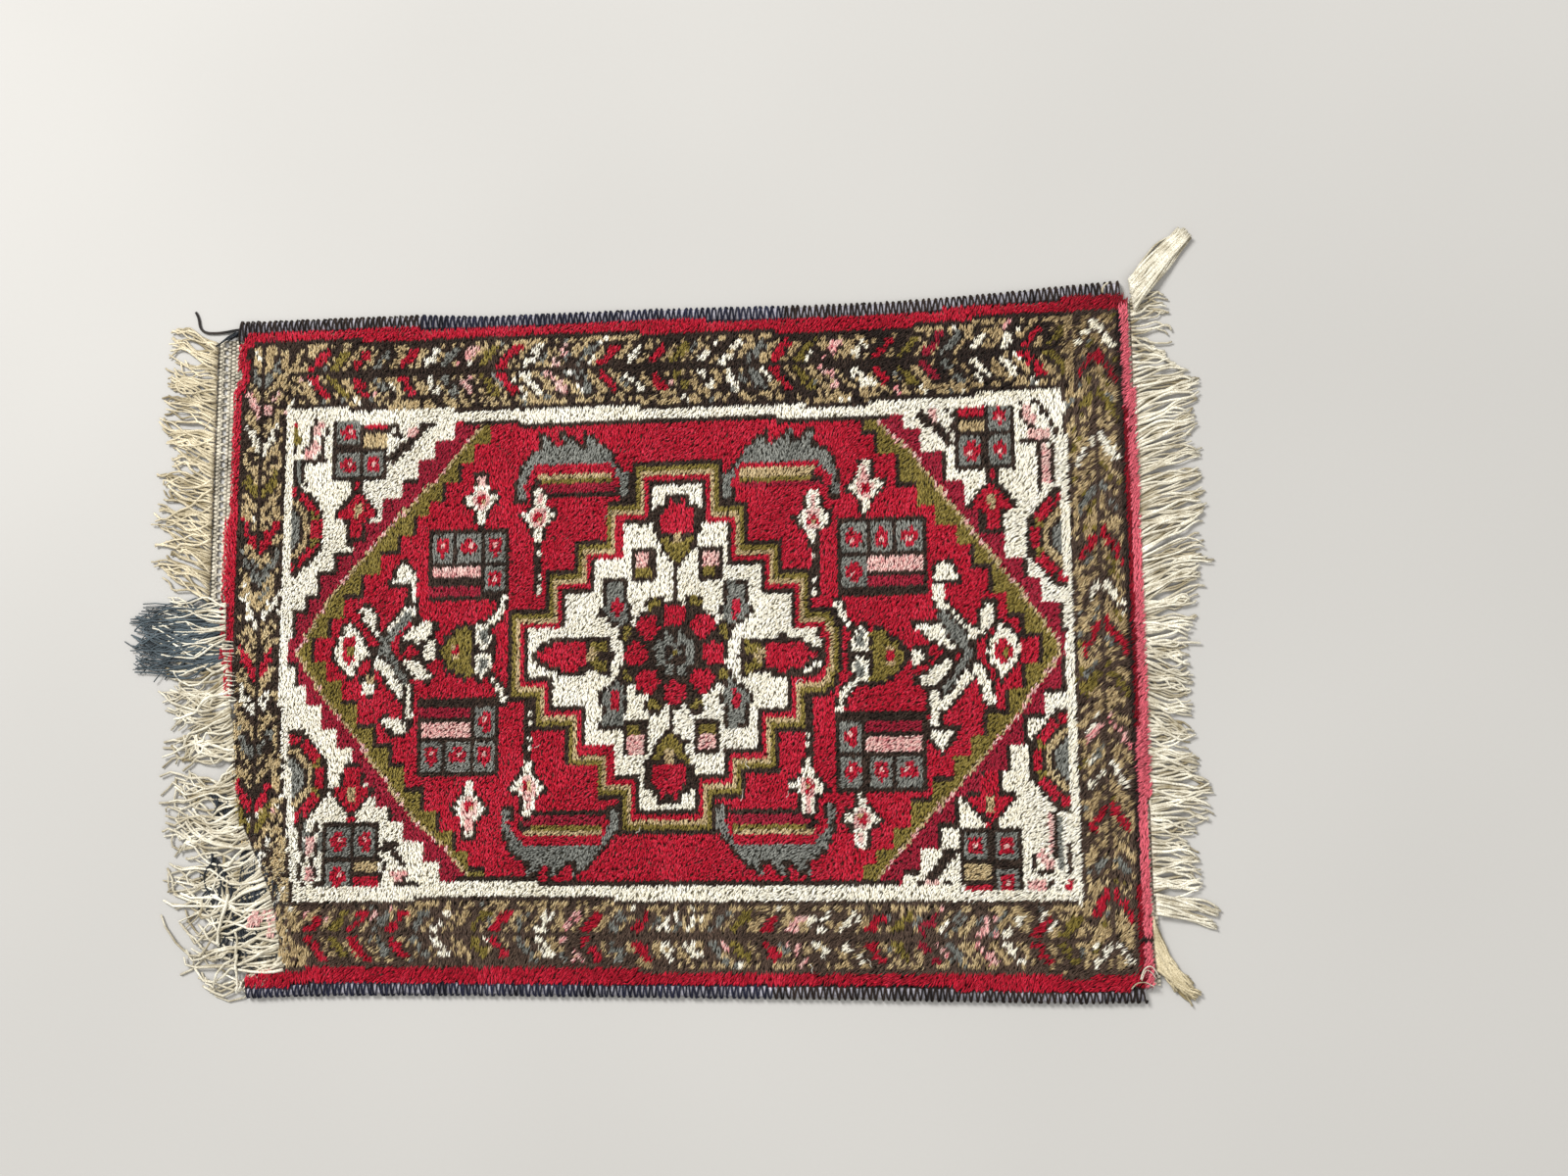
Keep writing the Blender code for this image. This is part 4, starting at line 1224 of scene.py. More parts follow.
@dataclass
class Pile:
    """The cut pile: every knot's tuft in short strands that lean towards the top right of the chart.

    The spacing is in knots, the azimuth in degrees, and the strand's rise, reach and radius in metres. The
    shag is how much farther the shaggiest strands reach, as a share.
    """

    spacing: float = 0.353
    rise: float = 0.0059
    reach: float = 0.0060
    azimuth: float = 56.0
    radius: float = 0.00070
    shag: float = 0.6
    most_triangles: int = 190_000
    stands_for: Dict[Yarn, Tuple[str, ...]] = field(
        default_factory=lambda: {
            Yarn.CRIMSON: (
                "outer_guard_top", "outer_guard_bottom", "outer_guard_left", "field_left", "field_right",
                "centre_rosette"
            ),
            Yarn.PINK: ("outer_guard_right",),
            Yarn.WINE: ("red_band",),
            Yarn.IVORY: ("inner_guard", "spandrel", "medallion_ground"),
            Yarn.TAN: ("border",),
            Yarn.OLIVE: ("olive_band", "medallion_outline"),
            Yarn.SLATE: ("corner_box", "field_box", "comb"),
        }
    )

    def strands(self, chart: Chart) -> Tuple[np.ndarray, np.ndarray]:
        """Where each strand's tip is on the chart, and the yarn it is spun from.

        Args:
            chart: The finished chart.

        Returns:
            Strands x 2 places in columns and rows, and one code each.
        """
        draws = np.random.default_rng(5)
        columns = np.arange(FIRST_COLUMN, LAST_COLUMN, self.spacing)
        k, r = np.meshgrid(columns, np.arange(FIRST_ROW, LAST_ROW, self.spacing))
        loose = 0.95 + self.shaggy(k, r)
        k = k + (draws.random(k.shape) - 0.5) * loose
        r = r + (draws.random(k.shape) - 0.5) * loose
        column = np.clip((k - FIRST_COLUMN).astype(int), 0, chart.knots.shape[1] - 1)
        row = np.clip((r - FIRST_ROW).astype(int), 0, chart.knots.shape[0] - 1)
        codes = chart.knots[row, column]
        found = codes > 0
        return np.stack([k[found], r[found]], 1), codes[found]

    def grow(self, tips: np.ndarray, draws: np.random.Generator, soil: float) -> Shape:
        """Three-sided strands, each a point at the ground, a ring at its bend and a point at its tip.

        The lean turns slowly over the rug: its azimuth adds two long waves and a little of the strand's own.

        Args:
            tips: Places of the tips, in columns and rows.
            draws: Random numbers.
            soil: How much deeper the tone is where the pile is shaggy. Below 0 it is paler there.

        Returns:
            The strands as one shape.
        """
        count = len(tips)
        k, r = tips.T
        x, y = place(k, r)
        shaggy = self.shaggy(k, r)
        drift = 16 * np.sin(x * 31 + 2 * np.sin(y * 23)) + 13 * np.sin(y * 57 + 3 * np.sin(x * 41))
        azimuth = np.radians(self.azimuth + drift + draws.normal(0, 13, count))
        reach = self.reach * (0.8 + 0.45 * draws.random(count)) * (1 + self.shag * shaggy)
        lean = np.stack([np.cos(azimuth), np.sin(azimuth)], 1) * reach[:, None]
        height = self.rise * (0.84 + 0.24 * draws.random(count)) + 0.0003 * np.sin(x * 90 + y * 70)
        low = GROUND_TOP - 0.0004
        tip = np.column_stack([x + 0.35 * lean[:, 0], y + 0.35 * lean[:, 1], low + height])
        middle = np.column_stack([tip[:, :2] - 0.45 * lean, low + 0.72 * height])
        root = np.column_stack([tip[:, :2] - lean, np.full(count, low)])
        turn = draws.random(count) * 2 * np.pi
        angle = turn[:, None] + 2 * np.pi * np.arange(3) / 3
        circle = np.stack([np.cos(angle), np.sin(angle), np.zeros(angle.shape)], 2)
        girth = self.radius * (0.8 + 0.4 * draws.random(count))[:, None, None]
        points = np.concatenate([root[:, None], middle[:, None] + circle * girth, tip[:, None]], axis=1)
        base = 5 * np.arange(count)[:, None]
        sides = np.array([[2, 1, 0], [3, 2, 0], [1, 3, 0], [1, 2, 4], [2, 3, 4], [3, 1, 4]])
        # Deeper where it is shaggy, towards the right of the top border, and most of all at the right end
        at_end = np.clip((k - 212.5) / 1.5, 0, 1)
        soiled = soil * shaggy + 0.3 * np.clip((k - 60) / 110, 0, 1) * (r < 20)
        tone = np.repeat(0.08 + 0.92 * draws.random(count) - 1.25 * at_end - soiled, 5)
        return Shape(points.reshape(-1, 3), [(base[:, :, None] + sides).reshape(-1, 3)], tone)

    def shaggy(self, k: np.ndarray, r: np.ndarray) -> np.ndarray:
        """How shaggy the pile is: 1 in the borders at the right and the bottom, 0 in the field."""
        return np.clip(np.maximum((k - 196) / 8, (r - 117) / 5), 0, 1)

    def build(self, chart: Chart) -> List[bpy.types.Object]:
        """One piece for each yarn, shared out from left to right where it holds too many strands.

        Args:
            chart: The finished chart.

        Returns:
            The pieces.
        """
        places, codes = self.strands(chart)
        named = sorted(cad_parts)
        pieces = []
        for yarn in Yarn:
            mine = places[codes == CODE[yarn]]
            nodes = [node for node in named if node.startswith(self.stands_for.get(yarn, ()))]
            material = pile_wool(yarn)
            shares = math.ceil(len(mine) * 6 / self.most_triangles)
            mine = mine[np.argsort(mine[:, 0])]
            for number, share in enumerate(np.array_split(mine, shares)):
                draws = np.random.default_rng(100 * CODE[yarn] + number)
                shape = self.grow(share, draws, -0.6 if yarn is B else 0.25)
                pieces.append(shape.publish(f"pile_{yarn.value}_{number + 1}", material, yarn.value, nodes))
        return pieces


def cloth(
    mask: np.ndarray, left: float, top: float, wide: float, high: float, upper: np.ndarray, lower: float
) -> Tuple[Shape, np.ndarray]:
    """A thin closed cloth over the cells of a mask, with walls where it ends and round its holes.

    Args:
        mask: Rows x columns of cells that are cloth.
        left: X of the first column's left side.
        top: Y of the first row's upper side.
        wide: A cell's size along X.
        high: A cell's size along Y.
        upper: Height of the upper face at each cell corner.
        lower: Height of the under face.

    Returns:
        The shape, and the cell that each of its faces belongs to.
    """
    rows, columns = mask.shape
    x, y = np.meshgrid(left + wide * np.arange(columns + 1), top - high * np.arange(rows + 1))
    under = np.column_stack([x.ravel(), y.ravel(), np.full(x.size, lower)])
    over = np.column_stack([x.ravel(), y.ravel(), upper.ravel()])
    index = np.arange(x.size).reshape(x.shape)
    a, b, c, d = index[:-1, :-1], index[:-1, 1:], index[1:, 1:], index[1:, :-1]
    cell = np.arange(mask.size).reshape(mask.shape)
    padded = np.pad(mask, 1)
    size = x.size
    blocks = [
        np.stack([d[mask], c[mask], b[mask], a[mask]], 1) + size,
        np.stack([a[mask], b[mask], c[mask], d[mask]], 1)
    ]
    owners = [cell[mask], cell[mask]]
    for beside, start, end in (
        (padded[:-2, 1:-1], b, a),
        (padded[2:, 1:-1], d, c),
        (padded[1:-1, :-2], a, d),
        (padded[1:-1, 2:], c, b),
    ):
        edge = mask & ~beside
        blocks.append(np.stack([start[edge], end[edge], end[edge] + size, start[edge] + size], 1))
        owners.append(cell[edge])
    faces = np.concatenate(blocks)
    used, faces = np.unique(faces, return_inverse=True)
    points = np.vstack([under, over])[used]
    return Shape(points, [faces.reshape(-1, 4)], np.full(len(points), 0.5)), np.concatenate(owners)


@dataclass
class Ground:
    """The woven ground that carries the knots, and the flat-woven bands at its ends. Sizes are in metres."""

    hole_pitch: float = 0.0075
    hole_wide: float = 0.0042
    hole_high: float = 0.0052
    cell: float = 0.0009
    bead_length: float = 0.0036
    bead_width: float = 0.0042

    def weave(self, chart: Chart) -> bpy.types.Object:
        """The ground under the pile, closed all round, with each knot's back in its own colour.

        Args:
            chart: The finished chart.

        Returns:
            The cloth.
        """
        mask = chart.knots != 0
        rows, columns = mask.shape
        x, y = place(FIRST_COLUMN, FIRST_ROW)
        upper = np.full((rows + 1, columns + 1), GROUND_TOP)
        shape, owners = cloth(mask, x, y, COLUMN, ROW, upper, 0.0002)
        # Plain cotton at code 0, each yarn at its own code, and the bare ground's dark wefts at code -1
        # The deep tones are the knots' backs on the under face, and painted shade between the tufts on the
        # upper face
        palette = np.array([srgb("#8E8878")] + [srgb(DYES[yarn].deep) for yarn in Yarn] + [srgb("#14161A")])
        shape.colours = palette[chart.knots.ravel()[owners]]
        back = knotted_back("knotted_wool_back")
        return shape.publish("ground_weave_cloth", back, "cotton_warp", ["ground_weave"], smooth=False)

    def bands(self) -> List[bpy.types.Object]:
        """The band at each end, tucked a little under the edge of the pile.

        Returns:
            The left band and the right one.
        """
        left_low, left_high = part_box("kilim_end_left")
        right_low, right_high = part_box("kilim_end_right")
        left_wide, right_wide = left_high.x - left_low.x + 0.006, right_high.x - right_low.x + 0.002
        return [
            self.band(
                "woven_band_left", "kilim_end_left", left_low.x, left_high.y, left_wide,
                left_high.y - left_low.y, True
            ),
            self.band(
                "woven_band_right", "kilim_end_right", right_low.x - 0.002, right_high.y, right_wide,
                right_high.y - right_low.y, False
            ),
        ]

    def band(
        self, name: str, node: str, left: float, top: float, wide: float, high: float, holes: bool
    ) -> bpy.types.Object:
        """A flat-woven band with raised wefts, and a row of drawn-thread holes along it if asked for.

        Args:
            name: The piece's name.
            node: The frame's solid that it stands for.
            left: X of its left side.
            top: Y of its upper side.
            wide: Its size along X.
            high: Its size along Y.
            holes: Whether it has the row of holes.

        Returns:
            The band.
        """
        columns, rows = max(3, round(wide / self.cell)), round(high / self.cell)
        u, v = np.meshgrid((np.arange(columns) + 0.5) * wide / columns, (np.arange(rows) + 0.5) * high / rows)
        mask = np.ones(u.shape, bool)
        if holes:
            in_row = abs((v / self.hole_pitch) % 1 - 0.5) * self.hole_pitch < self.hole_high / 2
            mask &= ~(in_row & (abs(u - 0.28 * wide) < self.hole_wide / 2))
        i, j = np.meshgrid(np.arange(columns + 1), np.arange(rows + 1))
        across, along = i * self.cell / self.bead_width, j * self.cell / self.bead_length
        bead = abs(np.sin(np.pi * (along + np.floor(across) * 0.5))) * abs(np.sin(np.pi * across)) ** 0.5
        upper = 0.0016 + 0.0012 * bead
        shape, _ = cloth(mask, left, top, wide / columns, high / rows, upper, 0.0003)
        # Painted shade: the tone falls from pale on the beads' crowns to dark in the grooves between them and
        # down the walls of the holes
        shape.tone = 2 * np.clip((shape.points[:, 2] - 0.0017) / 0.0010, 0, 1) ** 0.8 - 0.6
        return shape.publish(name, twisted_yarn(f"{name}_cotton", "#2A241A", "#F4EBD4"), "cotton_warp", [node])


@dataclass
class Overcasting:
    """Wool wrapped over a long side, in lengths of different yarn.

    Each turn's path goes round the bundle's oval: across by the cosine of its angle, up by the sine, and
    slanting along the edge one way and then the other. The edges and lengths are in columns and rows, and
    the other sizes are in metres.
    """

    name: str
    edge: Line
    outer: Line
    outward: float
    lengths: Tuple[Tuple[str, str, float, float], ...]
    pitch: float = 0.0026
    sides: int = 8
    step: float = 0.002
    half_height: float = 0.0030
    yarn_radius: float = 0.00082

    def middle(self, k: np.ndarray) -> Tuple[np.ndarray, np.ndarray]:
        """Y of the cord's middle and half its width at each column.

        Args:
            k: Columns.

        Returns:
            Y and half width, in metres.
        """
        inner, outer = follow(self.edge, k), follow(self.outer, k)
        _, y = place(k, (inner + outer) / 2)
        return y, abs(outer - inner) / 2 * ROW

    def cord(self, start: float, end: float, scale: float) -> Shape:
        """The plain bundle from one column to another, flattened where it lies on the floor.

        Args:
            start: The first column.
            end: The last column.
            scale: The bundle's thickness as a share of the whole edge's.

        Returns:
            The bundle.
        """
        count = max(8, round((end - start) * COLUMN / self.step))
        k = np.linspace(start, end, count)
        x, _ = place(k, 0)
        y, half = self.middle(k)
        angle = 2 * np.pi * np.arange(self.sides) / self.sides
        points = np.stack(
            [
                np.broadcast_to(x[:, None], (count, self.sides)),
                y[:, None] + half[:, None] * scale * np.cos(angle),
                np.maximum(self.half_height * (1.1 + scale * np.sin(angle)), 0.0003) + 0 * x[:, None],
            ],
            2,
        )
        index = np.arange(count * self.sides).reshape(count, self.sides)
        turned = np.roll(index, -1, axis=1)
        walls = np.stack([index[:-1], turned[:-1], turned[1:], index[1:]], -1).reshape(-1, 4)
        return Shape(
            points.reshape(-1, 3), [walls, index[:1, ::-1], index[-1:]], np.full(points.size // 3, 0.5)
        )

    def wraps(self, start: float, end: float, seed: int) -> Shape:
        """Turns of yarn over the bundle: each goes up its outer side, over its top and down behind the pile.

        Args:
            start: The first column.
            end: The last column.
            seed: Which random numbers to use.

        Returns:
            The turns as one shape.
        """
        draws = np.random.default_rng(seed)
        count = round((end - start) * COLUMN / self.pitch)
        k = np.linspace(start + 0.3, end - 0.3, count) + draws.normal(0, 0.09, count)
        slant = np.where(np.arange(count) % 2, 1.0, -1.0) * (0.8 + draws.normal(0, 0.25, count))
        angle = np.linspace(-0.75, 3.6, 9)
        column = k[:, None] + slant[:, None] * (angle[None] / np.pi - 0.5) * 0.9
        x, _ = place(column, 0)
        y, half = self.middle(k)
        swell = 1.03 + 0.12 * draws.random(count)
        across = self.outward * half[:, None] * swell[:, None] * np.cos(angle)
        up = self.half_height * (1.1 + swell[:, None] * np.sin(angle))
        paths = np.stack([x, y[:, None] + across, np.maximum(up, 0.0008)], 2)
        thick = self.yarn_radius * (0.75 + 0.5 * draws.random(count))
        return tubes(paths, np.broadcast_to(thick[:, None], paths.shape[:2]), draws.random(count), 5)

    def build(self) -> List[bpy.types.Object]:
        """Each length in its yarn, and the bundle of warps inside them all.

        Returns:
            The lengths, and the bundle last.
        """
        pieces = []
        for number, (node, wool, start, end) in enumerate(self.lengths):
            deep, pale = ("#08080E", "#2C2E44") if wool == "navy_wool" else ("#0C0806", "#382C26")
            material = twisted_yarn(f"wrapped_{wool}_{self.name}_{number}", deep, pale, 0.7, 0.02)
            name = node.replace("binding", "overcast")
            pieces.append(self.wraps(start, end, 40 + number).publish(name, material, wool, [node]))
        core = self.cord(self.lengths[0][2], self.lengths[-1][3], 0.86)
        material = twisted_yarn(f"bundled_cotton_{self.name}", "#55535A", "#C9C6CE", 1.6)
        nodes = [f"selvedge_core_{self.name}"]
        pieces.append(core.publish(f"warp_bundle_{self.name}", material, "cotton_warp", nodes))
        return pieces


OVERCAST_SIDES = (
    Overcasting(
        "top",
        Edges().top,
        (
            0, -2.8, 45, -2.5, 60, -1.6, 105, -1.5, 120, -1.2, 140, -0.8, 160, -0.8, 180, -1.3, 200, -2.3,
            217, -3
        ),
        1.0,
        (
            ("binding_top_brown_left", "brown_wool", -2.3, 45),
            ("binding_top_navy_middle", "navy_wool", 45, 135),
            ("binding_top_brown_right", "brown_wool", 135, 214.5),
        ),
    ),
    Overcasting(
        "bottom",
        Edges().bottom,
        (5, 139.2, 25, 138.6, 60, 138.4, 150, 138.8, 200, 139.3, 217, 139),
        -1.0,
        (
            ("binding_bottom_navy_left", "navy_wool", 5, 131),
            ("binding_bottom_brown_right", "brown_wool", 131, 214),
        ),
    ),
)


@dataclass(frozen=True)
class Bundle:
    """Loose strands from one line on the chart to another.

    A strand starts on the root line, ends on the tip line, bows to one side between them, and wanders more
    towards its tip. The lines, curl and ragged are in columns and rows, the bow is a share of the strand's
    length, and the heights and the radius are in metres.
    """

    count: int
    root: Tuple[float, float, float, float]
    tip: Tuple[float, float, float, float]
    bow: float = 0.0
    curl: float = 0.6
    ragged: float = 1.0
    layers: float = 0.0035
    thick: float = 0.00120
    arch: float = 0.0
    lift: float = 0.0016
    clump: int = 5
    base: float = 0.0012

    def paths(self, draws: np.random.Generator, steps: int) -> np.ndarray:
        """Centre lines in metres, strands x steps x 3.

        Args:
            draws: Random numbers.
            steps: Points on each strand.

        Returns:
            Points in metres.
        """
        along = np.linspace(0, 1, steps)[None, :, None]
        share = (np.arange(self.count) + draws.random(self.count))[:, None] / self.count
        (root_start, root_end), (tip_start, tip_end) = np.array([self.root, self.tip], float).reshape(2, 2, 2)
        root = root_start * (1 - share) + root_end * share
        tip = tip_start * (1 - share) + tip_end * share
        # Neighbours gather in clumps: their tips draw together and move as one
        groups = np.arange(self.count) // self.clump
        centre = np.array([share[groups == group].mean() for group in np.unique(groups)])[groups][:, None]
        clump = draws.normal(0, self.ragged, (self.count // self.clump + 1, 2))[groups]
        tip = tip + clump + 0.45 * (centre - share) * (tip_end - tip_start)
        tip = tip + draws.normal(0, 0.4 * self.ragged, tip.shape)
        # A curve of the second degree from root to tip, with a slow and a fine wave that grow towards the tip
        side = (tip - root)[:, ::-1] * (1, -1)
        middle = (root + tip) / 2 + side * (self.bow + draws.normal(0, 0.07, (self.count, 1)))
        line = (1 - along) ** 2 * root[:, None] + 2 * along * (1 - along) * middle[:, None]
        line = line + along**2 * tip[:, None]
        phase = draws.random((self.count, 1, 2)) * 6.3
        wave = np.sin(along * (4.5 + 3 * draws.random((self.count, 1, 2))) + phase) - np.sin(phase)
        fine = np.sin(along * (11 + 5 * draws.random((self.count, 1, 2))) + 2 * phase) - np.sin(2 * phase)
        line = line + self.curl * along * (wave + 0.35 * fine)
        k, r = line[..., 0], line[..., 1]
        x, y = place(k, r)
        along = along[..., 0]
        level = draws.random((self.count, 1)) * self.layers
        height = self.base + self.lift * (1 - along) ** 2 + level * (1 - 0.35 * along)
        height = height + self.arch * np.sin(np.pi * along) * draws.random((self.count, 1))
        # No strand sinks into the bare ground or the floor
        over = (r > BARE_TOP) & (r < BARE_BOTTOM) & (k > bare_from(r)) & (k < LAST_COLUMN - 2)
        return np.stack([x, y, np.maximum(height, np.where(over, GROUND_TOP, 0) + self.thick)], 2)


@dataclass
class Fringe:
    """Bundles of one yarn made into one piece, and the frame's solids that it stands for."""

    name: str
    bundles: Tuple[Bundle, ...]
    nodes: Tuple[str, ...]
    slot: str = "cotton_warp"
    deep: str = "#7A6C4C"
    pale: str = "#FFFBEA"
    steps: int = 11

    def build(self) -> bpy.types.Object:
        """Every strand as a four-sided tube, a little thinner towards its tip.

        Returns:
            The piece.
        """
        draws = np.random.default_rng(len(self.name) * 7 + len(self.bundles))
        paths = np.concatenate([bundle.paths(draws, self.steps) for bundle in self.bundles])
        thick = np.concatenate([np.full(bundle.count, bundle.thick) for bundle in self.bundles])
        thick = thick * (0.75 + 0.5 * draws.random(len(thick)))
        radii = thick[:, None] * np.linspace(1, 0.72, self.steps)
        # Painted shade: the strands that lie lower are darker, and those that lie on top are the palest
        rank = paths[:, :, 2].mean(1).argsort().argsort() / len(paths)
        shape = tubes(paths, radii, 1.7 * (0.6 * rank + 0.4 * draws.random(len(paths))) - 0.35)
        material = twisted_yarn(f"{self.name}_yarn", self.deep, self.pale, 0.9)
        return shape.publish(self.name, material, self.slot, self.nodes)


RIGHT_FRINGE = (
    Bundle(14, (216.7, -0.5, 216.7, 9), (224, -1, 226, 9), 0.1, 0.8, 0.8),
    Bundle(22, (216.7, 8, 216.7, 20), (221, 9, 230, 17.6), 0.06, 0.6, 0.5),
    Bundle(132, (216.7, 19, 216.7, 64), (230.2, 15.5, 230.6, 60.5), 0.06, 0.7, 0.9),
    Bundle(26, (216.7, 62, 216.7, 71), (229, 60.5, 226, 70.5), 0.02, 0.8, 0.8),
    Bundle(40, (216.7, 70, 216.7, 83), (226, 71.5, 227, 85.5), -0.05, 0.8, 0.8),
    Bundle(25, (216.7, 83, 216.7, 92), (225, 85, 226, 92), 0.0, 0.8, 0.8),
    Bundle(40, (216.7, 91, 216.7, 105), (227, 91, 229.6, 105.5), 0.04, 0.8, 0.8),
    Bundle(40, (216.7, 104, 216.7, 119), (225, 106, 227.6, 118), 0.03, 0.8, 0.8),
    Bundle(20, (217.2, 118.6, 217.2, 122.6), (230.4, 122.2, 229.6, 124.8), 0.06, 0.4, 0.5),
    Bundle(3, (216.7, 99.4, 216.7, 101), (222.5, 103, 220.5, 105.4), -0.5, 0.4, 0.3),
)
LEFT_FRINGE = (
    Bundle(128, (-8.0, 1.5, -8.0, 58), (-20, -2.5, -20.4, 54.5), -0.06, 1.1, 1.1, 0.0028),
    Bundle(16, (-8.0, 2, -8.0, 50), (-20, 2, -20, 51), 0.12, 1.6, 1.5),
)
FRAYED_FRINGE = (
    Bundle(22, (-2.8, 58, -2.6, 66), (-21, 57, -20, 66), 0.08, 1.4, 1.6, lift=0.0062, thick=0.0009),
    Bundle(44, (-2.6, 66, -0.8, 83), (-18, 69, -15, 85), 0.14, 2.0, 1.5, lift=0.003, thick=0.0013, clump=5),
    Bundle(48, (-0.4, 83, 2.2, 105), (-15, 85, -13, 104), 0.2, 2.4, 1.7, lift=0.003, thick=0.0013, clump=6),
    Bundle(40, (3, 104, 11, 119), (-14, 106, -12, 122), 0.18, 2.8, 1.9, lift=0.0042, thick=0.0013, clump=5),
    Bundle(32, (11, 119, 14.5, 133.5), (-11, 122, -7, 137), 0.14, 2.8, 1.7, lift=0.0042, thick=0.0013, clump=6),
    Bundle(8, (-2, 110, 3, 132), (-11, 121, -5, 137), 0.8, 3.2, 2.0, arch=0.004, thick=0.0015),
    Bundle(22, (-3.6, 66, -1, 79), (3, 66, 1.6, 79), 0, 0.3, 0.4, 0.003, lift=0.007, thick=0.0008),
    Bundle(
        30, (14.8, 106, 15.4, 133), (3.4, 106, 5, 134), 0, 0.6, 0.5, 0.0008, lift=0.002, thick=0.0009, clump=2,
        base=0.0036
    ),
)
CORNER_STITCHES = (
    Bundle(
        2, (213, 134.6, 213.4, 135), (216.6, 133.6, 216.2, 134.4), 0.95, 0.2, 0.2, 0.001, 0.0006, base=0.0085
    ),
    Bundle(1, (210.8, 136.4, 211, 136.4), (216, 136, 216, 136), 0.5, 0.2, 0.2, 0.001, 0.0006, base=0.0078),
    Bundle(2, (210, -0.4, 210.6, -0.2), (211.2, -2.6, 212, -2.2), 0.4, 0.2, 0.2, 0.001, 0.0006, base=0.0078),
)
LINT = tuple(
    Bundle(
        1, (k, r, k, r), (k + across, r + down, k + across, r + down), 0.2, 0.3, 0.1, 0.0004, 0.00032,
        base=0.0090
    )
    for k, r, across, down in (
        (80, 68.2, 0.5, -1.6), (137, 77.4, 1.6, -1.0), (75, 89.4, 1.0, -0.8), (99.4, 106.6, 0.8, -1.4),
        (124, 100.4, 0.3, -2.0), (134.6, 99.8, 0.6, -1.4), (126, 94, -0.8, -1.4), (91.6, 43, 1.4, -2.2),
        (92, 77, 0.4, 1.2), (152.6, 131, 1.2, 1.6), (139.6, 132, 0.6, 1.4), (75.2, 58.6, 0.8, -2.4)
    )
)
BARE_WEFTS = (
    Bundle(64, (3, 105, 13, 118), (4.5, 120, 15, 133.5), 0.0, 0.9, 1.0, lift=0.0, thick=0.0009, base=0.0034),
    Bundle(46, (-5, 110, 4, 120), (-4, 124, 5, 134), 0.12, 2.4, 1.6, lift=0.001, thick=0.0009),
    Bundle(22, (-6, 98, 1, 99), (-5, 104, 2, 106), 0.1, 1.2, 1.2, lift=0.001, thick=0.0009),
    Bundle(10, (-8.5, 2.4, -2, 0), (-1.6, -1.2, -1, -2), 0.1, 0.3, 0.4, lift=0.004, thick=0.0007),
)
WEFT_BUNCH = (
    Bundle(90, (-2.4, 58, -2.2, 70), (-26, 59.5, -25, 70), 0.06, 1.6, 1.2, 0.004, thick=0.00085, clump=6),
    Bundle(40, (-2.4, 60, -2.2, 71), (-19, 64, -17, 75), -0.1, 2.0, 1.6, 0.004, thick=0.00085, clump=6),
)
TOP_TASSEL = (Bundle(90, (216.6, -3, 217.6, 3.4), (229.4, -13, 230.4, -11.6), 0.03, 0.3, 0.5, 0.006),)
LOW_TASSEL = (Bundle(80, (216.4, 123, 216.8, 133), (221, 135, 225.6, 138.2), -0.1, 0.5, 0.8, 0.005),)
FRINGES = (
    Fringe("fringe_right_strands", RIGHT_FRINGE, ("fringe_right",)),
    Fringe("fringe_left_strands", LEFT_FRINGE, ("fringe_left_upper",), deep="#6A5C3C", pale="#F6EACC"),
    Fringe("frayed_left_strands", FRAYED_FRINGE, ("fringe_left_lower",)),
    Fringe("tassel_top_strands", TOP_TASSEL, ("tassel_top_right",)),
    Fringe("tassel_low_strands", LOW_TASSEL, (), deep="#7C6E4C", pale="#E8DBBA"),
    Fringe("bare_weft_strands", BARE_WEFTS, (), "slate_weft_yarn", "#0A0C0E", "#343B43"),
    Fringe("corner_stitch_loops", CORNER_STITCHES, (), pale="#FFFCF0"),
    Fringe("lint_on_pile", LINT, (), pale="#FFFFFF"),
    Fringe("weft_bunch_strands", WEFT_BUNCH, ("weft_bunch",), "slate_weft_yarn", "#1C2226", "#5C686E"),
)


@dataclass
class BindingTail:
    """The loose end of the brown overcasting at the top left corner."""

    exit: Tuple[float, float, float] = (-0.4003, 0.29575, 0.0032)
    diameter: float = 0.0025
    length: float = 0.058
    route: Tuple[Tuple[float, float, float], ...] = (
        (0, 0, 0.0032), (-0.006, -0.0003, 0.0030), (-0.013, -0.0010, 0.0018), (-0.020, -0.0016, 0.0013),
        (-0.027, -0.0018, 0.0013), (-0.034, -0.0012, 0.0013), (-0.039, 0.0012, 0.0013),
        (-0.0415, 0.0056, 0.0013), (-0.0422, 0.0105, 0.0013), (-0.0436, 0.0152, 0.0013),
        (-0.0458, 0.0190, 0.0013)
    )

    def build(self) -> bpy.types.Object:
        """One curve along the route, as a cord.

        Returns:
            The cord.
        """
        curve = bpy.data.curves.new("binding_tail_yarn", "CURVE")
        curve.dimensions = "3D"
        curve.bevel_depth = self.diameter / 2
        curve.bevel_resolution = 3
        curve.use_fill_caps = True
        spline = curve.splines.new("NURBS")
        spline.points.add(len(self.route) - 1)
        placed = np.array(self.route) + (self.exit[0], self.exit[1], 0)
        spline.points.foreach_set("co", np.column_stack([placed, np.ones(len(placed))]).ravel())
        spline.use_endpoint_u = True
        spline.order_u = 3
        spline.resolution_u = 6
        curve.materials.append(twisted_yarn("loose_brown_wool", "#14100E", "#54483F", 0.8, 0.2))
        tail = bpy.data.objects.new("binding_tail_yarn", curve)
        bpy.context.scene.collection.objects.link(tail)
        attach(tail, "root")
        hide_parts("binding_tail")
        log.info("binding_tail_yarn: a loose end %.0f mm long", self.length * 1000)
        return tail


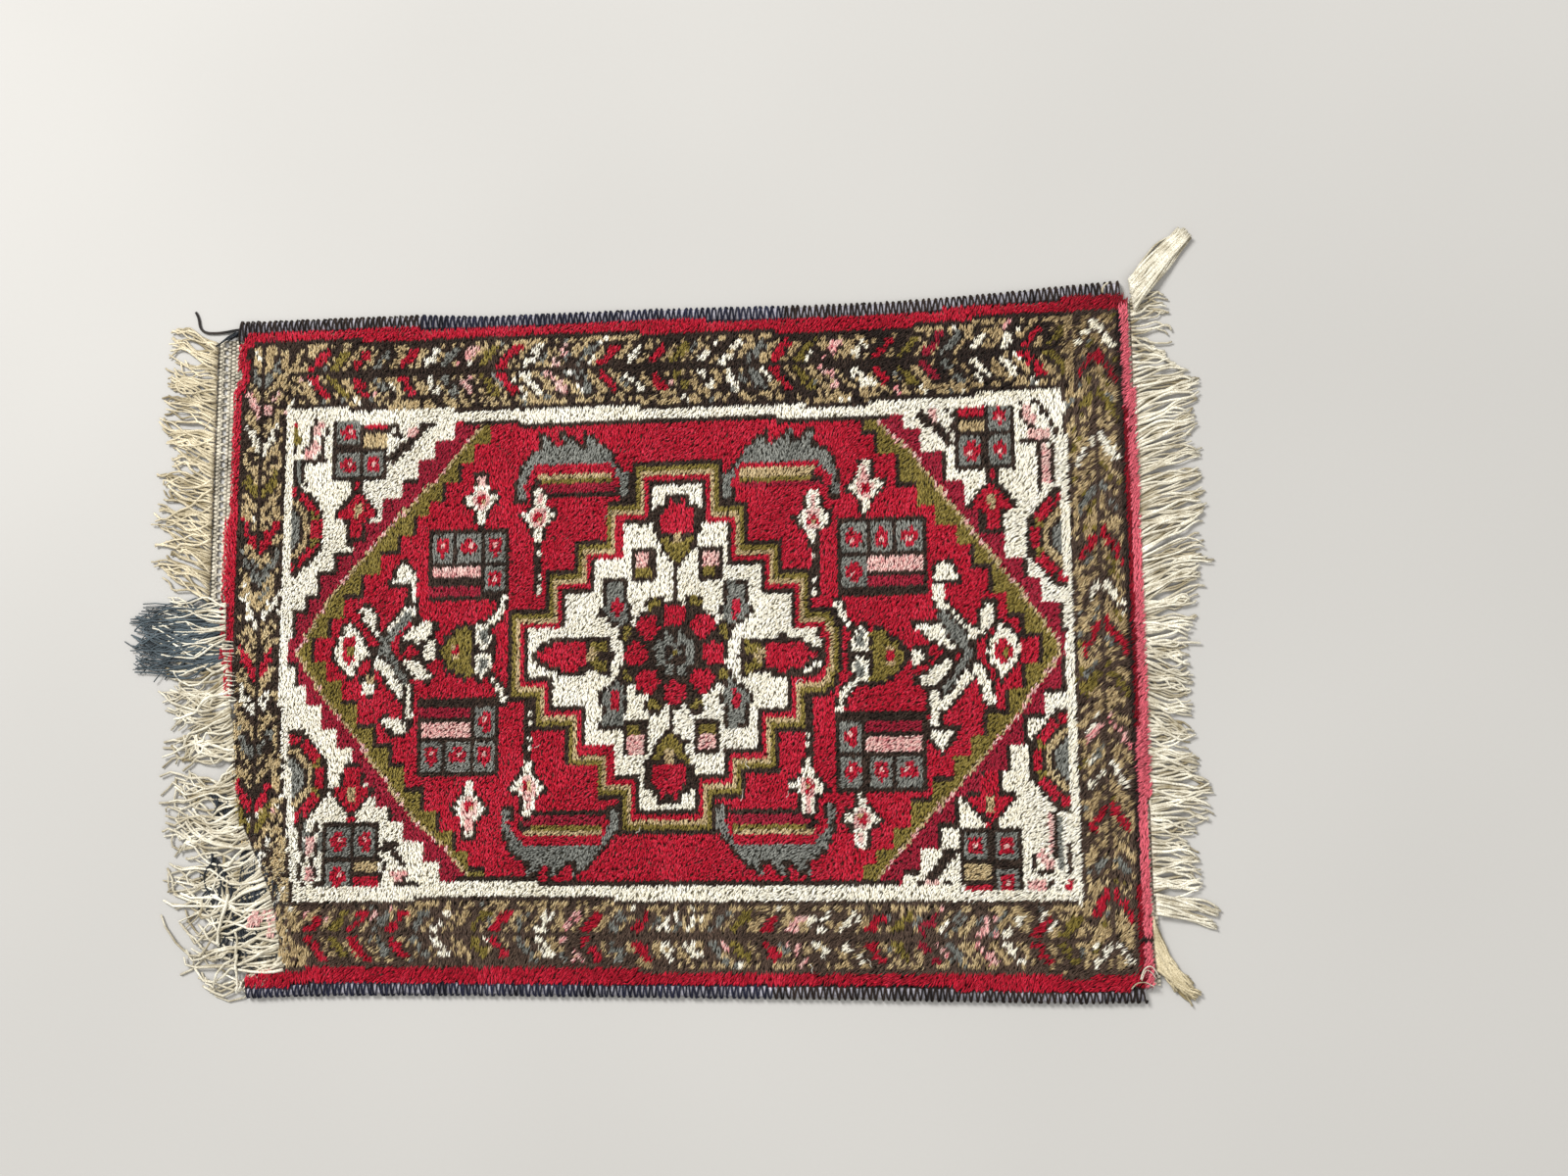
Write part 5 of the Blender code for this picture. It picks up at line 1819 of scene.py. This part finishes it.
@dataclass
class Studio:
    """Camera, soft light and a pale floor. The camera's turn is in degrees about X, Y and Z."""

    eye: Tuple[float, float, float] = (0.249, -0.1215, 1.300)
    turn: Tuple[float, float, float] = (7.141, 6.622, -0.586)
    lens: float = 35.0

    def camera(self) -> None:
        """Stand the camera over the rug."""
        data = bpy.data.cameras.new("camera")
        data.lens, data.sensor_width = self.lens, 36.0
        camera = bpy.data.objects.new("camera", data)
        camera.location = self.eye
        camera.rotation_euler = [math.radians(angle) for angle in self.turn]
        bpy.context.scene.collection.objects.link(camera)
        bpy.context.scene.camera = camera

    def lamp(self, name: str, size: float, power: float, at: Tuple[float, float, float]) -> None:
        """A square soft light that faces the rug's middle.

        Args:
            name: Its name.
            size: Its side in metres.
            power: Its power in watts.
            at: Where it hangs.
        """
        data = bpy.data.lights.new(name, "AREA")
        data.size, data.energy = size, power
        lamp = bpy.data.objects.new(name, data)
        lamp.location = at
        lamp.rotation_euler = (-lamp.location).to_track_quat("-Z", "Y").to_euler()
        bpy.context.scene.collection.objects.link(lamp)

    def build(self) -> None:
        """Light the rug from above and one side, and lay the floor."""
        self.lamp("key_light", 1.7, 350.0, (-2.2, 2.6, 3.5))
        self.lamp("fill_light", 3.8, 86.0, (2.2, -1.4, 3.6))
        world = bpy.data.worlds.new("sky")
        world.use_nodes = True
        world.node_tree.nodes["Background"].inputs[0].default_value = (1.0, 0.99, 0.97, 1.0)
        world.node_tree.nodes["Background"].inputs[1].default_value = 0.5
        bpy.context.scene.world = world
        bpy.context.scene.view_settings.view_transform = "Standard"
        mesh = bpy.data.meshes.new("floor")
        mesh.from_pydata([(-4, -4, 0), (4, -4, 0), (4, 4, 0), (-4, 4, 0)], [], [(0, 1, 2, 3)])
        shader = Shader("matt_floor_paint")
        grain = shader.noise(3.0)
        colour = shader.mix(shader.level(shader.noise(700), 0.3, 0.7), srgb("#A6A4A0"), srgb("#ADABA7"))
        rough = shader.level(grain, 0.2, 0.8, 0.7, 0.85)
        mesh.materials.append(shader.finish(colour, rough, grain, 0.0001, 0.0))
        floor = bpy.data.objects.new("floor", mesh)
        bpy.context.scene.collection.objects.link(floor)


def main() -> None:
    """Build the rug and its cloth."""
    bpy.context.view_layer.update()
    studio = Studio()
    studio.camera()
    BindingTail().build()
    chart = design()
    ground = Ground()
    cloth_piece = ground.weave(chart)
    pieces = Pile().build(chart) + ground.bands()
    for side in OVERCAST_SIDES:
        pieces += side.build()
    pieces += [fringe.build() for fringe in FRINGES]
    studio.build()


if __name__ == "__main__":
    main()
